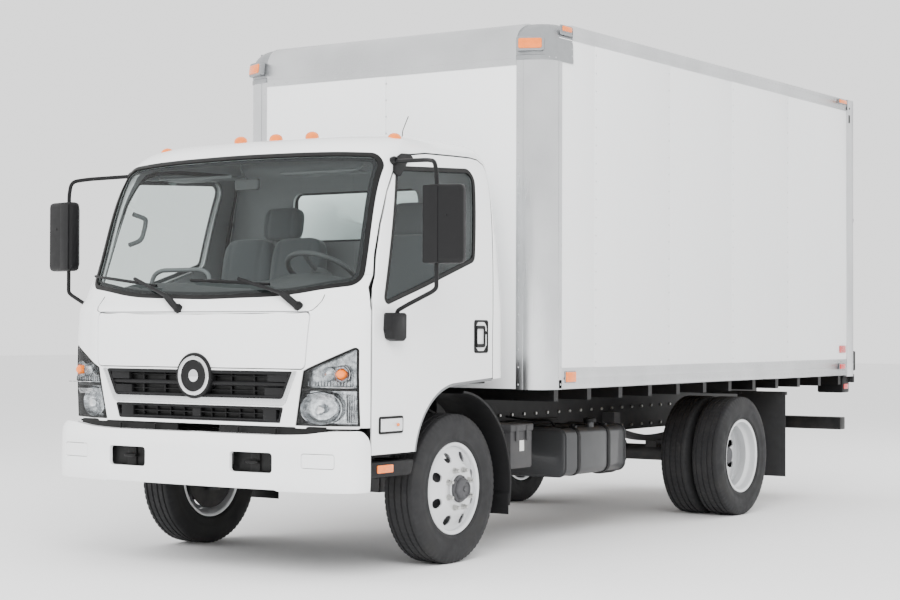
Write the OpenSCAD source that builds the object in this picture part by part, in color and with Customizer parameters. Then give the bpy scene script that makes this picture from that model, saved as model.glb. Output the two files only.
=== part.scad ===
// Cab-over box truck with a tilting cab, a rigid cargo box and twin rear wheels.
// The truck faces -Y and +X is its driver's side. Lengths are in millimetres.
// Inside the modules y is measured back from the front axle. Heights are
// measured from the top of the frame rails, or from the ground for the wheels.

/* [Overall] */
// Distance between the front and rear axles
wheelbase = 3500; // [3300:10:4200]
// Bumper face ahead of the front axle
front_overhang = 1150; // [1140:5:1180]
// Gap between the cab and the cargo box
cab_gap = 276; // [200:2:340]

/* [Wheels] */
// Tyre outside diameter
tyre_d = 846; // [760:2:1016]
// Tyre width
tyre_w = 225; // [205:5:245]
// Rim flange diameter
rim_d = 520; // [500:2:540]
// Distance between the centres of the front tyres
front_track = 1800; // [1760:10:1850]
// Distance between the centres of the rear twin sets
rear_track = 1845; // [1800:5:1890]
// Distance between the two tyres of a twin set
twin_spacing = 245; // [240:5:270]
// Pitch circle of the wheel nuts
nut_circle = 225; // [205:5:245]
// Diameter of the front spindles
spindle_d = 60; // [50:1:64]
// Diameter of the rear axle ends
axle_end_d = 80; // [60:1:90]
// Radial running gap of the bearings
bearing_gap = 0.05; // [0.02:0.01:0.09]
// Distance between the two kingpins
kingpin_span = 1600; // [1560:10:1640]

/* [Frame] */
// Outside width of the frame
frame_w = 760; // [700:10:820]
// Height of the frame rails
rail_h = 200; // [170:5:240]
// Flange width of the frame rails
rail_flange = 64; // [50:1:80]
// Plate thickness of the frame rails
rail_t = 7; // [5:0.5:10]
// Gap between the rear tyres and the floor beams
tyre_clearance = 44; // [30:1:120]
// Height of the body sills on the rails
sill_h = 90; // [70:5:120]

/* [Cargo box] */
// Outside width of the cargo box
box_w = 2330; // [1950:10:2600]
// Outside length of the cargo box
box_l = 4844; // [4300:2:5820]
// Height of the box from its bottom rail to its roof
box_h = 2213; // [1850:1:2660]
// Depth of the floor beams
beam_h = 100; // [80:5:120]
// Thickness of the cargo floor
floor_t = 40; // [30:1:60]
// Thickness of the box walls
wall_t = 38; // [25:1:45]
// Height of the bottom rails
bottom_rail_h = 130; // [110:5:160]
// Height of the top rails
top_rail_h = 95; // [80:5:120]
// Radius of the front corner posts
corner_r = 160; // [120:5:180]
// Depth of the front header below the roof
header_h = 231; // [200:1:280]
// Depth of the rear frame from front to back
rear_frame_l = 134; // [100:2:160]
// Width of the rear posts
rear_post_w = 90; // [70:5:120]
// Thickness of the dock bumpers
dock_t = 50; // [30:5:70]

/* [Cab] */
// Cab width across the doors
cab_w = 2120; // [2000:10:2160]
// Back of the cab behind the front axle
cab_back = 430; // [400:5:470]
// Thickness of the cab walls and doors
cab_wall = 50; // [40:1:55]
// Gap between a door and the panel ahead of it
door_front_gap = 12; // [11:0.5:14]
// Gap behind and above a door
door_back_gap = 10; // [8:0.5:12]
// Gap above and below the front lid
lid_gap = 6; // [5.5:0.5:8]
// Gap at the sides of the front lid
lid_side_gap = 9; // [9:0.5:12]
// Width of the bumper
bumper_w = 2174; // [2160:2:2240]
// Thickness of the bumper shell
bumper_t = 20; // [6:1:24]
// Diameter of the cab tilt pins
tilt_pin_d = 30; // [24:1:36]
// Diameter of the tow eye bores
tow_eye_d = 40; // [30:1:50]
// Height of the mirror heads
mirror_h = 417; // [360:1:440]
// Width of the mirror heads
mirror_w = 220; // [180:5:240]

/* [Hidden] */
$fn = 64;
SIDES = [1, -1];

// Where the main pieces stand
tyre_r = tyre_d / 2;
beam_z = tyre_d + tyre_clearance;
rail_top = beam_z - sill_h;
axle_z = tyre_r - rail_top;
box_front = cab_back + cab_gap;
box_back = box_front + box_l;
rear_end = box_back + dock_t;
mid_y = (rear_end - front_overhang) / 2;

// Cargo box heights above the rails
box_z = sill_h + 73;
box_top = box_z + box_h;
floor_z = sill_h + beam_h;
floor_top = floor_z + floor_t;
header_z = box_top - header_h;
frame_y = box_back - rear_frame_l;
rail_x = frame_w / 2;

// Colours
WHITE = [0.93, 0.94, 0.94];
ALUMINIUM = [0.72, 0.73, 0.74];
BLACK = [0.09, 0.09, 0.10];
DARK_GREY = [0.25, 0.25, 0.26];
GLASS = [0.45, 0.52, 0.51];
STEEL = [0.85, 0.85, 0.86];
WOOD = [0.55, 0.42, 0.28];
AMBER = [0.95, 0.50, 0.10];

// ---- shared shapes ----

// Everything on the frame: y from the front axle, z from the rail tops
module on_frame() { translate([0, -mid_y, rail_top]) children(); }

// Pieces centred on an axle: y and z from the axle line
module on_axle(y) { translate([0, y - mid_y, tyre_r]) children(); }

// Box given by its two opposite corners
module block(a, b) { translate(a) cube(b - a); }

// The same piece on both sides
module both_sides() { for (s = SIDES) scale_side(s) children(); }
module scale_side(s) { if (s > 0) children(); else mirror([1, 0, 0]) children(); }

// Plate cut to an outline in the YZ plane, from x0 to x1
module side_plate(outline, x0, x1) {
    translate([x0, 0, 0]) rotate([90, 0, 90]) linear_extrude(x1 - x0) polygon(outline);
}

// Plate cut to an outline in the XZ plane, from y0 to y1
module front_plate(outline, y0, y1) {
    translate([0, y1, 0]) rotate([90, 0, 0]) linear_extrude(y1 - y0) polygon(outline);
}

// Bar of a given outline along Y
module bar_y(outline, y0, y1) { front_plate(outline, y0, y1); }

// Rod between two points
module rod(a, b, r) {
    d = b - a;
    translate(a) rotate([0, acos(d.z / norm(d)), atan2(d.y, d.x)]) cylinder(r = r, h = norm(d));
}

// Bent tube through a list of points
module tube(points, r) {
    for (i = [0:len(points) - 2]) rod(points[i], points[i + 1], r);
    for (i = [1:len(points) - 2]) translate(points[i]) sphere(r = r + 0.7);
}

function unit(v) = v / norm(v);
function turn(a) = a > 180 ? a - 360 : a < -180 ? a + 360 : a;
function arc(c, r, a0, a1, n = 8) =
    [for (i = [0:n]) c + r * [cos(a0 + (a1 - a0) * i / n), sin(a0 + (a1 - a0) * i / n)]];

// Rounds one corner p of an outline
function fillet(before, p, after, r, n = 6) =
    let (u = unit(before - p), v = unit(after - p), half = acos(u * v) / 2,
         c = p + unit(u + v) * r / sin(half),
         s = p + u * r / tan(half) - c, e = p + v * r / tan(half) - c,
         a0 = atan2(s.y, s.x), sweep = turn(atan2(e.y, e.x) - a0))
    arc(c, r, a0, a0 + sweep, n);

// Rounds each corner of an outline with its own radius
function rounded(points, radii) =
    let (n = len(points))
    [for (i = [0:n - 1]) each radii[i] == 0 ? [points[i]]
        : fillet(points[(i + n - 1) % n], points[i], points[(i + 1) % n], radii[i])];
function mirrored(half) = concat(half, [for (i = [len(half) - 1:-1:0]) [-half[i].x, half[i].y]]);
function rectangle(a, b, r = 0) = rounded([a, [b.x, a.y], b, [a.x, b.y]], [r, r, r, r]);

// ---- wheels ----

rim_w = tyre_w - 50;
bead_r = rim_d / 2 - 14;
disc_out = twin_spacing / 2;
disc_t = 14;
hub_r = 84;
drum_r = 165;

// Solid of a half section turned about the X axis
module turned() { rotate([0, 90, 0]) rotate_extrude() children(); }

module tyre() {
    half = [[bead_r, 0], [bead_r, rim_w / 2 - 8], [bead_r + 10, rim_w / 2 - 5],
            [(rim_d / 2 + tyre_r) / 2 - 20, tyre_w / 2 - 4], [(rim_d / 2 + tyre_r) / 2, tyre_w / 2],
            [tyre_r - 40, tyre_w / 2 - 4], [tyre_r - 18, tyre_w / 2 - 14], [tyre_r, tyre_w / 2 - 36]];
    turned() polygon(concat(half, [for (i = [len(half) - 1:-1:1]) [half[i].x, -half[i].y]]));
}

// Rim well with its flanges, and a dished disc with hand holes. The disc
// stands off the rim centre by disc_out, towards +X.
module rim() {
    r1 = bead_r - 0.2;
    b = rim_w / 2;
    difference() {
        union() {
            turned() polygon([
                [r1, -b + 6], [rim_d / 2, -b + 1], [rim_d / 2, -b - 5], [r1 - 4, -b - 5],
                [r1 - 8, -b + 4], [r1 - 8, b - 4], [r1 - 4, b + 5], [rim_d / 2, b + 5],
                [rim_d / 2, b - 1], [r1, b - 6]]);
            turned() polygon([
                [hub_r, disc_out - disc_t], [nut_circle / 2 + 26, disc_out - disc_t],
                [r1 - 30, disc_out - 62], [r1 - 7, disc_out - 66], [r1 - 7, disc_out - 46],
                [r1 - 26, disc_out - 44], [nut_circle / 2 + 32, disc_out], [hub_r, disc_out]]);
        }
        for (a = [0:45:315]) rotate([a + 22.5, 0, 0])
            translate([disc_out - 90, 0, (nut_circle / 2 + r1) / 2 + 8]) rotate([0, 90, 0])
                cylinder(d = 58, h = 100);
    }
}

// Front wheel: disc wheel bolted to a hub that turns on the spindle, with its drum
module front_wheel() {
    x = front_track / 2;
    translate([x, 0, 0]) {
        rim();
        difference() {
            turned() polygon([
                [0, -70], [drum_r, -70], [drum_r, 46], [nut_circle / 2 + 24, 60],
                [nut_circle / 2 + 24, disc_out - disc_t], [hub_r + 0.001, disc_out - disc_t],
                [hub_r, disc_out + 22], [66, disc_out + 26], [58, disc_out + 52], [0, disc_out + 56]]);
            turned() polygon([[0, -71], [drum_r - 12, -71], [drum_r - 12, 20], [60, 34], [0, 34]]);
            translate([-80, 0, 0]) rotate([0, 90, 0])
                cylinder(d = spindle_d + 2 * bearing_gap, h = 80 + disc_out);
        }
    }
}

// Rear twin set: two disc wheels back to back on one hub
module rear_wheels() {
    x = rear_track / 2;
    translate([x + disc_out, 0, 0]) mirror([1, 0, 0]) rim();
    translate([x - disc_out, 0, 0]) rim();
    translate([x, 0, 0]) difference() {
        turned() polygon([
            [0, -230], [drum_r, -230], [drum_r, -60], [hub_r, -disc_t - 30],
            [hub_r, disc_t + 40], [70, disc_t + 90], [62, disc_t + 112], [0, disc_t + 116]]);
        turned() polygon([[0, -231], [drum_r - 12, -231], [drum_r - 12, -90], [66, -90], [0, -90]]);
        translate([-240, 0, 0]) rotate([0, 90, 0])
            cylinder(d = axle_end_d + 2 * bearing_gap, h = 240 + disc_t + 80);
    }
}

module front_wheel_node(side) {
    color(STEEL) on_axle(0) scale_side(side) front_wheel();
}
module front_tyre_node(side) {
    color(BLACK) on_axle(0) scale_side(side) translate([front_track / 2, 0, 0]) tyre();
}
module rear_wheels_node(side) {
    color(STEEL) on_axle(wheelbase) scale_side(side) rear_wheels();
}
module rear_tyres_node(side) {
    color(BLACK) on_axle(wheelbase) scale_side(side)
        for (s = SIDES) translate([rear_track / 2 + s * disc_out, 0, 0]) tyre();
}

// ---- axles, steering and springs ----

kingpin_x = kingpin_span / 2;
kingpin_r = 22;
spring_x = rail_x + 60;
spring_w = 70;

// Knuckle: forked body on the kingpin, spindle, brake plate and steering arm
module knuckle() {
    translate([kingpin_x, 0, 0]) {
        difference() {
            union() {
                translate([0, 0, -95]) cylinder(r = 42, h = 190);
                block([0, -38, -60], [62, 38, 60]);
            }
            translate([0, 0, -100]) cylinder(r = kingpin_r + bearing_gap, h = 200);
            block([-60, -70, -52], [52, 70, 52]);
        }
        translate([50, 0, 0]) rotate([0, 90, 0])
            cylinder(d = spindle_d, h = front_track / 2 - kingpin_x - 50 + disc_out - 20);
        translate([52, 0, 0]) rotate([0, 90, 0]) cylinder(r = 70, h = 12);
        block([-20, 30, -90], [20, 190, -70]);
    }
}
module knuckle_node(side) { color(DARK_GREY) on_axle(0) scale_side(side) knuckle(); }

// Leaf spring pack between two hangers on the rail
module leaf_spring(y, seat_z, eye_z, half_l) {
    drop = eye_z - seat_z;
    bow = [for (i = [-8:8]) [y + half_l * i / 8, seat_z + drop * (i / 8) * (i / 8)]];
    under = [for (i = [5:-1:-5]) [y + half_l * i / 8, seat_z - 44 + drop * (i / 8) * (i / 8)]];
    both_sides() {
        side_plate(concat(bow, [bow[16] - [0, 14]], under, [bow[0] - [0, 14]]),
                   spring_x - spring_w / 2, spring_x + spring_w / 2);
        for (s = SIDES) {
            end = y + s * half_l;
            block([rail_x, end - 45, eye_z - 30], [spring_x + spring_w / 2, end + 45, -60]);
        }
    }
}

module front_axle() {
    beam_z0 = axle_z - 45;
    seat = axle_z + 92;
    color(DARK_GREY) on_frame() {
        block([-spring_x - 60, -42, beam_z0], [spring_x + 60, 42, beam_z0 + 90]);
        both_sides() {
            block([spring_x + 50, -32, beam_z0 + 2], [kingpin_x - 30, 32, beam_z0 + 86]);
            translate([kingpin_x, 0, axle_z - 48]) cylinder(r = 40, h = 96);
            translate([kingpin_x, 0, axle_z - 93]) cylinder(r = kingpin_r, h = 186);
            block([spring_x - 45, -60, beam_z0 + 80], [spring_x + 45, 60, seat - 40]);
        }
        leaf_spring(0, seat, -rail_h + 30, 560);
    }
}

module rear_axle() {
    seat = axle_z + 130;
    shaft_start = [0, 1114, -225];
    shaft_end = [0, wheelbase - 190, axle_z + 10];
    color(DARK_GREY) on_frame() {
        translate([0, wheelbase, axle_z]) {
            rotate([0, 90, 0]) translate([0, 0, -rear_track / 2 + 100])
                cylinder(r = 58, h = rear_track - 200);
            rotate([0, 90, 0]) translate([0, 0, -rear_track / 2 - disc_t - 60])
                cylinder(d = axle_end_d, h = rear_track + 2 * disc_t + 120);
            rotate([90, 0, 0]) cylinder(r = 175, h = 150, center = true);
            rotate([90, 0, 0]) cylinder(r = 70, h = 190);
        }
        both_sides() block([spring_x - 45, wheelbase - 65, axle_z + 40],
                           [spring_x + 45, wheelbase + 65, seat - 40]);
        leaf_spring(wheelbase, seat, -rail_h + 40, 640);
        rod(shaft_start, shaft_end, 42);
    }
}

// ---- frame and what hangs on it ----

tilt_y = -830;
tilt_z = 150;
tilt_x = 400;
rail_front = -790;
rail_back = box_back - 130;
CROSSMEMBERS = [-755, 1250, 2050, wheelbase - 700, wheelbase + 700, wheelbase + 1250];
hitch_hole_d = 18;
hitch_w = 200;
hitch_h = 80;

// C section open towards the middle of the truck
function rail_section() = [
    [rail_x, -rail_h], [rail_x, 0], [rail_x - rail_flange, 0], [rail_x - rail_flange, -rail_t],
    [rail_x - rail_t, -rail_t], [rail_x - rail_t, -rail_h + rail_t],
    [rail_x - rail_flange, -rail_h + rail_t], [rail_x - rail_flange, -rail_h]];

// Bracket that carries a cab tilt pin
module tilt_bracket() {
    foot = [[rail_front, -rail_h + 10], [rail_front + 120, -rail_h + 10], [rail_front + 120, -10],
            [tilt_y + 36, tilt_z + 10], [tilt_y, tilt_z + 38], [tilt_y - 36, tilt_z + 10]];
    side_plate(rounded(foot, [0, 0, 0, 20, 20, 20]), rail_x, rail_x + 12);
    side_plate(rounded(foot, [0, 0, 0, 20, 20, 20]), rail_x + 78, rail_x + 90);
    block([rail_x, rail_front + 10, -rail_h + 10], [rail_x + 90, rail_front + 40, -rail_h + 70]);
    translate([rail_x - 6, tilt_y, tilt_z]) rotate([0, 90, 0]) cylinder(d = tilt_pin_d, h = 102);
}

module frame() {
    color(BLACK) on_frame() {
        both_sides() {
            bar_y(rail_section(), rail_front, rail_back);
            tilt_bracket();
        }
        for (y = CROSSMEMBERS)
            block([-rail_x + rail_t, y - 35, -160], [rail_x - rail_t, y + 35, -40]);
        difference() {
            block([-rail_x, rail_back, -rail_h], [rail_x, rail_back + 12, 0]);
            for (x = SIDES, z = SIDES)
                translate([x * hitch_w / 2, rail_back - 1, -rail_h / 2 + z * hitch_h / 2])
                    rotate([-90, 0, 0]) cylinder(d = hitch_hole_d, h = 20);
        }
    }
}

// Bumper plan: a slightly bowed face, round ends and short returns
function bumper_plan(inset) =
    let (w = bumper_w / 2 - inset, f = -front_overhang + inset)
    rounded([[w, -920 + (inset > 0 ? 5 : 0)], [w, f + 110], [800, f + 32], [300, f + 4], [0, f],
             [-300, f + 4], [-800, f + 32], [-w, f + 110], [-w, -920 + (inset > 0 ? 5 : 0)]],
            [0, 120 - inset, 900, 0, 0, 0, 900, 120 - inset, 0]);

tow_x = 440;
tow_y = -1072;
tow_z = -186;
module front_bumper() {
    stay_x = rail_x - rail_flange;
    face = mirrored([[1100, -30], [930, -14], [600, -10]]);
    low = mirrored([[1100, -300], [700, -300], [610, -329]]);
    color(WHITE) on_frame() {
        difference() {
            translate([0, 0, -340]) linear_extrude(340) difference() {
                polygon(bumper_plan(0));
                polygon(bumper_plan(bumper_t));
            }
            front_plate(concat(face, [[-1100, 20], [1100, 20]]), -1200, -800);
            front_plate(concat(low, [[-1100, -360], [1100, -360]]), -1200, -800);
            both_sides() front_plate(rectangle([314, -240], [578, -130], 30), -1200, -1000);
            for (s = SIDES) translate([s * 90, -1200, -270]) rotate([-90, 0, 0])
                cylinder(d = plate_hole_d, h = 200);
        }
        both_sides() {
            block([stay_x, -front_overhang + bumper_t - 4, -rail_h - 60],
                  [stay_x + 50, rail_front + 150, -rail_h]);
            block([stay_x, -1112, -rail_h - 60], [bumper_w / 2 - 180, -1092, -rail_h - 20]);
            difference() {
                union() {
                    translate([tow_x - 14, tow_y, tow_z]) rotate([0, 90, 0])
                        cylinder(r = 42, h = 28);
                    block([tow_x - 14, tow_y - 30, -rail_h - 40], [tow_x + 14, tow_y + 30, tow_z]);
                }
                translate([tow_x - 20, tow_y, tow_z]) rotate([0, 90, 0])
                    cylinder(d = tow_eye_d, h = 40);
            }
        }
    }
}
plate_hole_d = 7;

module engine() {
    color(DARK_GREY) on_frame() {
        block([-290, -450, -320], [290, 560, 185]);
        block([-170, 560, -320], [170, 1060, -60]);
        translate([0, 1060, -225]) rotate([-90, 0, 0]) cylinder(r = 60, h = 50);
    }
}

// Round-cornered steel tank on two brackets, with a filler neck and cap
module fuel_tank() {
    inner = rail_x + 100;
    outer = inner + 470;
    y0 = 1317;
    y1 = 2105;
    color(DARK_GREY) on_frame() {
        bar_y(rectangle([inner, -400], [outer, -100], 55), y0, y1);
        for (y = [y0 + 170, y1 - 190])
            block([rail_x, y, -180], [inner + 20, y + 50, -110]);
        translate([outer - 60, (y0 + y1) / 2 + 20, -110]) {
            cylinder(r = 24, h = 45);
            translate([0, 0, 40]) cylinder(r = 36, h = 24);
        }
    }
}

module battery_box() {
    color(DARK_GREY) on_frame() {
        bar_y(rectangle([rail_x + 180, -320], [rail_x + 520, -50], 18), 750, 1000);
        block([rail_x, 820, -170], [rail_x + 190, 930, -110]);
    }
}

// Moulded entry steps beside the bumper, each on a bracket under the rail
module side_steps() {
    x1 = cab_w / 2 - 2;
    outline = rounded([[-893, -262], [-516, -262], [-484, -180], [-893, -180]], [10, 20, 10, 10]);
    stay_x = rail_x - rail_flange + 50;
    color(DARK_GREY) on_frame() both_sides() {
        side_plate(outline, x1 - 210, x1);
        block([stay_x, -740, -rail_h - 45], [x1 - 200, -680, -rail_h - 5]);
    }
}

// Front guards behind the steered wheels and flaps behind the twin wheels
module mudflaps() {
    guard_r = tyre_r + 115;
    guard = concat(arc([0, axle_z], guard_r + 5, 85, -12, 14), arc([0, axle_z], guard_r, -12, 85, 14));
    rear_y = wheelbase + tyre_r + 430;
    x0 = front_track / 2 - 200;
    color(BLACK) on_frame() both_sides() {
        side_plate(guard, x0, cab_w / 2 - 30);
        block([x0 + 10, guard_r - 6, axle_z - 175], [cab_w / 2 - 30, guard_r + 2, axle_z - 80]);
        block([rail_x, guard_r - 60, -50], [x0 + 20, guard_r - 30, -20]);
        block([rail_x + 320, rear_y, axle_z - 206], [box_w / 2 - 65, rear_y + 8, 60]);
        block([rail_x, rear_y + 8, 30], [box_w / 2 - 65, rear_y + 38, 60]);
    }
}

// ---- cargo box ----

beam_n = 12;
module floor_beams() {
    inner = box_w / 2 - wall_t - 4;
    first = box_front + corner_r + 44;
    pitch = (frame_y - 60 - first) / (beam_n - 1);
    color(BLACK) on_frame() {
        both_sides() block([rail_x - rail_flange, box_front + 20, 0], [rail_x, frame_y, sill_h]);
        for (i = [0:beam_n - 1])
            block([-inner, first + pitch * i - 25, sill_h], [inner, first + pitch * i + 25, floor_z]);
    }
}

// Floor boards, rounded at the front to fit inside the corner posts
module cargo_floor() {
    inner = box_w / 2 - wall_t - 4;
    c = [box_w / 2 - corner_r, box_front + corner_r];
    r = corner_r - wall_t - 4;
    plan = mirrored(concat(arc(c, r, -90, 0), [[inner, frame_y]]));
    color(WOOD) on_frame() translate([0, 0, floor_z]) linear_extrude(floor_t) polygon(plan);
}

post_flat = 42;
cap_l = 156;
module box_front_wall() {
    half = box_w / 2 - corner_r - post_flat;
    color(WHITE) on_frame()
        block([-half, box_front, box_z], [half, box_front + wall_t, header_z]);
}

// Quarter-round corner posts, the rounded header and the cast corner caps
module box_front_frame() {
    cx = box_w / 2 - corner_r;
    cy = box_front + corner_r;
    top_r = 150;
    cz = box_top - top_r;
    in_r = corner_r - wall_t;
    plan = concat(arc([cx, cy], corner_r, -90, 0, 12), [[cx + corner_r, cy + 14],
                  [cx + in_r, cy + 14]], arc([cx, cy], in_r, 0, -90, 12),
                  [[cx - post_flat, box_front + wall_t], [cx - post_flat, box_front]]);
    bow = concat([[box_front, header_z]], arc([box_front + top_r, cz], top_r, 180, 90, 12),
                 [[cy + 14, box_top], [cy + 14, box_top - 30]],
                 arc([box_front + top_r, cz], top_r - wall_t, 90, 180, 12),
                 [[box_front + wall_t, header_z]]);
    color(ALUMINIUM) on_frame() {
        both_sides() translate([0, 0, box_z]) linear_extrude(header_z - box_z) polygon(plan);
        side_plate(bow, -cx + post_flat, cx - post_flat);
        both_sides() difference() {
            hull() {
                translate([0, 0, header_z]) linear_extrude(2) corner_plan(0);
                translate([0, 0, cz]) linear_extrude(2) corner_plan(0);
                for (a = [30, 60])
                    translate([0, 0, cz + top_r * sin(a) - 1]) linear_extrude(1)
                        corner_plan(top_r * (1 - cos(a)));
                translate([0, 0, box_top - 1]) linear_extrude(1) corner_plan(top_r);
            }
            hull() {
                translate([0, 0, header_z - 1]) linear_extrude(2) corner_plan(0, wall_t);
                translate([0, 0, box_top - 60]) linear_extrude(2) corner_plan(40, wall_t);
            }
        }
    }
}

// Plan of a corner cap, pulled in by "inward" towards the back, or thinned
module corner_plan(inward, thin = 0) {
    cx = box_w / 2 - corner_r;
    cy = box_front + corner_r;
    r = corner_r - thin;
    shift = inward;
    side = min(inward * 0.18, 24);
    polygon(concat(arc([cx - side, cy + shift * 0.9], r * (1 - inward / 400), -90, 0, 10),
                   [[cx + r * (1 - inward / 400) - side, cy + 14 + cap_l],
                    [cx - post_flat, cy + 14 + cap_l]],
                   [[cx - post_flat, cy + shift * 0.9 - r * (1 - inward / 400)]]));
}

module box_side_walls() {
    y0 = box_front + corner_r + 14;
    z0 = box_z + bottom_rail_h;
    z1 = box_top - top_rail_h;
    outline = [[y0, z0], [frame_y, z0], [frame_y, z1], [y0 + cap_l, z1], [y0 + cap_l, header_z],
               [y0, header_z]];
    color(WHITE) on_frame() both_sides() side_plate(outline, box_w / 2 - wall_t, box_w / 2 - 4);
}

// Extruded top and bottom rails of both sides
module box_rails() {
    y0 = box_front + corner_r + 14;
    x1 = box_w / 2;
    x0 = x1 - wall_t - 4;
    bottom = [[x0, box_z], [x1 - 6, box_z], [x1, box_z + 5], [x1, box_z + 62], [x1 - 5, box_z + 66],
              [x1 - 5, box_z + bottom_rail_h], [x0, box_z + bottom_rail_h]];
    top = [[x0, box_top - top_rail_h], [x1 - 3, box_top - top_rail_h], [x1, box_top - top_rail_h + 4],
           [x1, box_top - 12], [x1 - 12, box_top], [x0, box_top]];
    color(ALUMINIUM) on_frame() both_sides() {
        bar_y(bottom, y0, frame_y);
        bar_y(top, y0 + cap_l, frame_y);
    }
}

module box_roof() {
    half = box_w / 2 - wall_t - 4;
    front = box_front + corner_r + 14;
    notch = box_w / 2 - corner_r - post_flat;
    plan = mirrored([[notch, front], [notch, front + cap_l], [half, front + cap_l], [half, frame_y]]);
    color(WHITE) on_frame() translate([0, 0, box_top - 26]) linear_extrude(22) polygon(plan);
}

rear_opening_w = box_w - 2 * rear_post_w;
rear_header_h = 190;
module rear_frame() {
    x0 = rear_opening_w / 2;
    color(ALUMINIUM) on_frame() {
        both_sides() block([x0, frame_y, box_z - 10], [box_w / 2, box_back, box_top]);
        block([-x0, frame_y, box_top - rear_header_h], [x0, box_back, box_top]);
        block([-x0, frame_y, box_z], [x0, box_back, floor_top]);
    }
}

// Closed roll-up door of jointed boards
board_n = 7;
module rear_door() {
    x1 = rear_opening_w / 2 - 3;
    z0 = floor_top + 3;
    z1 = box_top - rear_header_h - 3;
    pitch = (z1 - z0) / board_n;
    y0 = box_back - 75;
    color(WHITE) on_frame() difference() {
        block([-x1, y0, z0], [x1, y0 + 30, z1]);
        for (i = [1:board_n - 1])
            block([-x1 - 1, y0 + 22, z0 + pitch * i - 3], [x1 + 1, y0 + 31, z0 + pitch * i + 3]);
    }
}

// Marker lamps along the box and the tail lamp housings under it
lamp_t = 14;
module body_lamps() {
    x = box_w / 2;
    cy = box_front + corner_r;
    color(AMBER) on_frame() both_sides() {
        block([x, cy + 180, box_top - 62], [x + lamp_t, cy + 280, box_top - 26]);
        block([x, frame_y - 180, box_top - 62], [x + lamp_t, frame_y - 60, box_top - 26]);
        block([x, cy + 80, box_z + 20], [x + lamp_t, cy + 170, box_z + 60]);
        block([x, frame_y - 168, box_z + 20], [x + lamp_t, frame_y - 78, box_z + 60]);
        block([x - 200, box_back, box_top - 120], [x - 100, box_back + lamp_t, box_top - 80]);
        block([x - 250, box_back - 150, box_z - 140], [x - 30, box_back - 10, box_z - 12]);
    }
    color(AMBER) on_frame() for (i = [-1:1])
        block([i * 220 - 50, box_back, box_top - 120], [i * 220 + 50, box_back + lamp_t, box_top - 80]);
}

// Underrun bar on its brackets, and the rubber dock bumpers on the posts
module rear_bumpers() {
    color(BLACK) on_frame() {
        block([-box_w / 2 + 70, box_back - 105, -275], [box_w / 2 - 70, box_back - 5, -176]);
        both_sides() {
            block([rail_x, box_back - 260, -230], [rail_x + 14, box_back - 100, -20]);
            block([box_w / 2 - 70, box_back, box_z + 35], [box_w / 2, rear_end, box_z + 193]);
        }
    }
}

// ---- cab shell ----

// Levels of the cab body. Each is height, front, back, half width, then how far
// the front edge has drawn back at the end of the face and at the corner, the
// half widths where it does, and where the straight side begins.
cab_x = cab_w / 2;
LOWER_LEVELS = [
    [-160, -1062, cab_back, cab_x - 6, 22, 128, 738, cab_x - 46, -887],
    [3, -1068, cab_back, cab_x - 3, 22, 128, 742, cab_x - 42, -887],
    [300, -1080, cab_back, cab_x, 22, 130, 750, cab_x - 40, -890],
    [613, -1062, cab_back, cab_x, 24, 128, 760, cab_x - 42, -885],
    [700, -1003, cab_back, cab_x - 5, 34, 112, 730, cab_x - 72, -828]
];
UPPER_LEVELS = [
    [660, -1015, cab_back, cab_x - 1, 36, 122, 700, cab_x - 75, -828],
    [1460, -710, cab_back - 8, cab_x - 102, 34, 98, 640, cab_x - 142, -525],
    [1560, -612, cab_back - 40, cab_x - 152, 30, 110, 600, cab_x - 210, -420],
    [1600, -500, cab_back - 100, cab_x - 220, 30, 120, 540, cab_x - 290, -300],
    [1615, -360, cab_back - 190, cab_x - 330, 30, 110, 460, cab_x - 410, -150]
];

// Plan of the cab at one level, drawn in by an inset
function cab_plan(l, inset) =
    let (f = l[1] + inset, w = l[3] - inset, half = [
            [l[6] / 2, f + l[4] / 4], [l[6], f + l[4]], [(l[6] + l[7]) / 2, f + (l[4] + l[5]) / 2 - 8],
            [l[7] - inset * 0.8, f + l[5]], [w - 10, l[8] + inset * 0.3 - 26], [w, l[8] + inset * 0.3 + 20],
            [w, l[2] - inset - 50], [w - 15, l[2] - inset - 15], [w - 50, l[2] - inset]])
    concat([[0, f]], half, [for (i = [len(half) - 1:-1:0]) [-half[i].x, half[i].y]]);

module cab_levels(levels, inset, drop_first, drop_last) {
    n = len(levels) - 1;
    hull() for (i = [0:n]) {
        drop = i == 0 ? drop_first : i == n ? drop_last : inset > 0 && i > 1 ? drop_last : 0;
        translate([0, 0, levels[i][0] - drop]) linear_extrude(0.5) polygon(cab_plan(levels[i], inset));
    }
}

// Solid inside of the cab's outer surface, drawn in by an inset
module cab_space(inset) {
    cab_levels(LOWER_LEVELS, inset, inset > 0 ? 8 : 0, 0);
    cab_levels(UPPER_LEVELS, inset, 0, min(inset, 40));
}
module cab_skin() {
    difference() {
        cab_space(0);
        cab_space(cab_wall);
    }
}

// Half width of the straight cab side at a height above the belt
side_lean = atan2(UPPER_LEVELS[0][3] - UPPER_LEVELS[1][3], UPPER_LEVELS[1][0] - UPPER_LEVELS[0][0]);
function side_x(z) = UPPER_LEVELS[0][3] - (z - UPPER_LEVELS[0][0]) * tan(side_lean);

// Wheel arch: an arc ahead of the wheel, then a nearly level edge
arch_r = 415;
arch_y = -(tyre_r + 52) + arch_r;
arch_z = tyre_d + 169 - rail_top - arch_r;
arch_rise = 28;
arch_bottom = -240;
function arch_top(y) = arch_z + arch_r + arch_rise * (y - arch_y) / (cab_back - arch_y);
function arch_edge(back) =
    concat([[back, arch_top(back)]], arc([arch_y, arch_z], arch_r, 90, 180, 12),
           [[arch_y - arch_r, arch_bottom]]);

door_front = -875;
door_back = 295;
door_bottom = -150;
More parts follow.
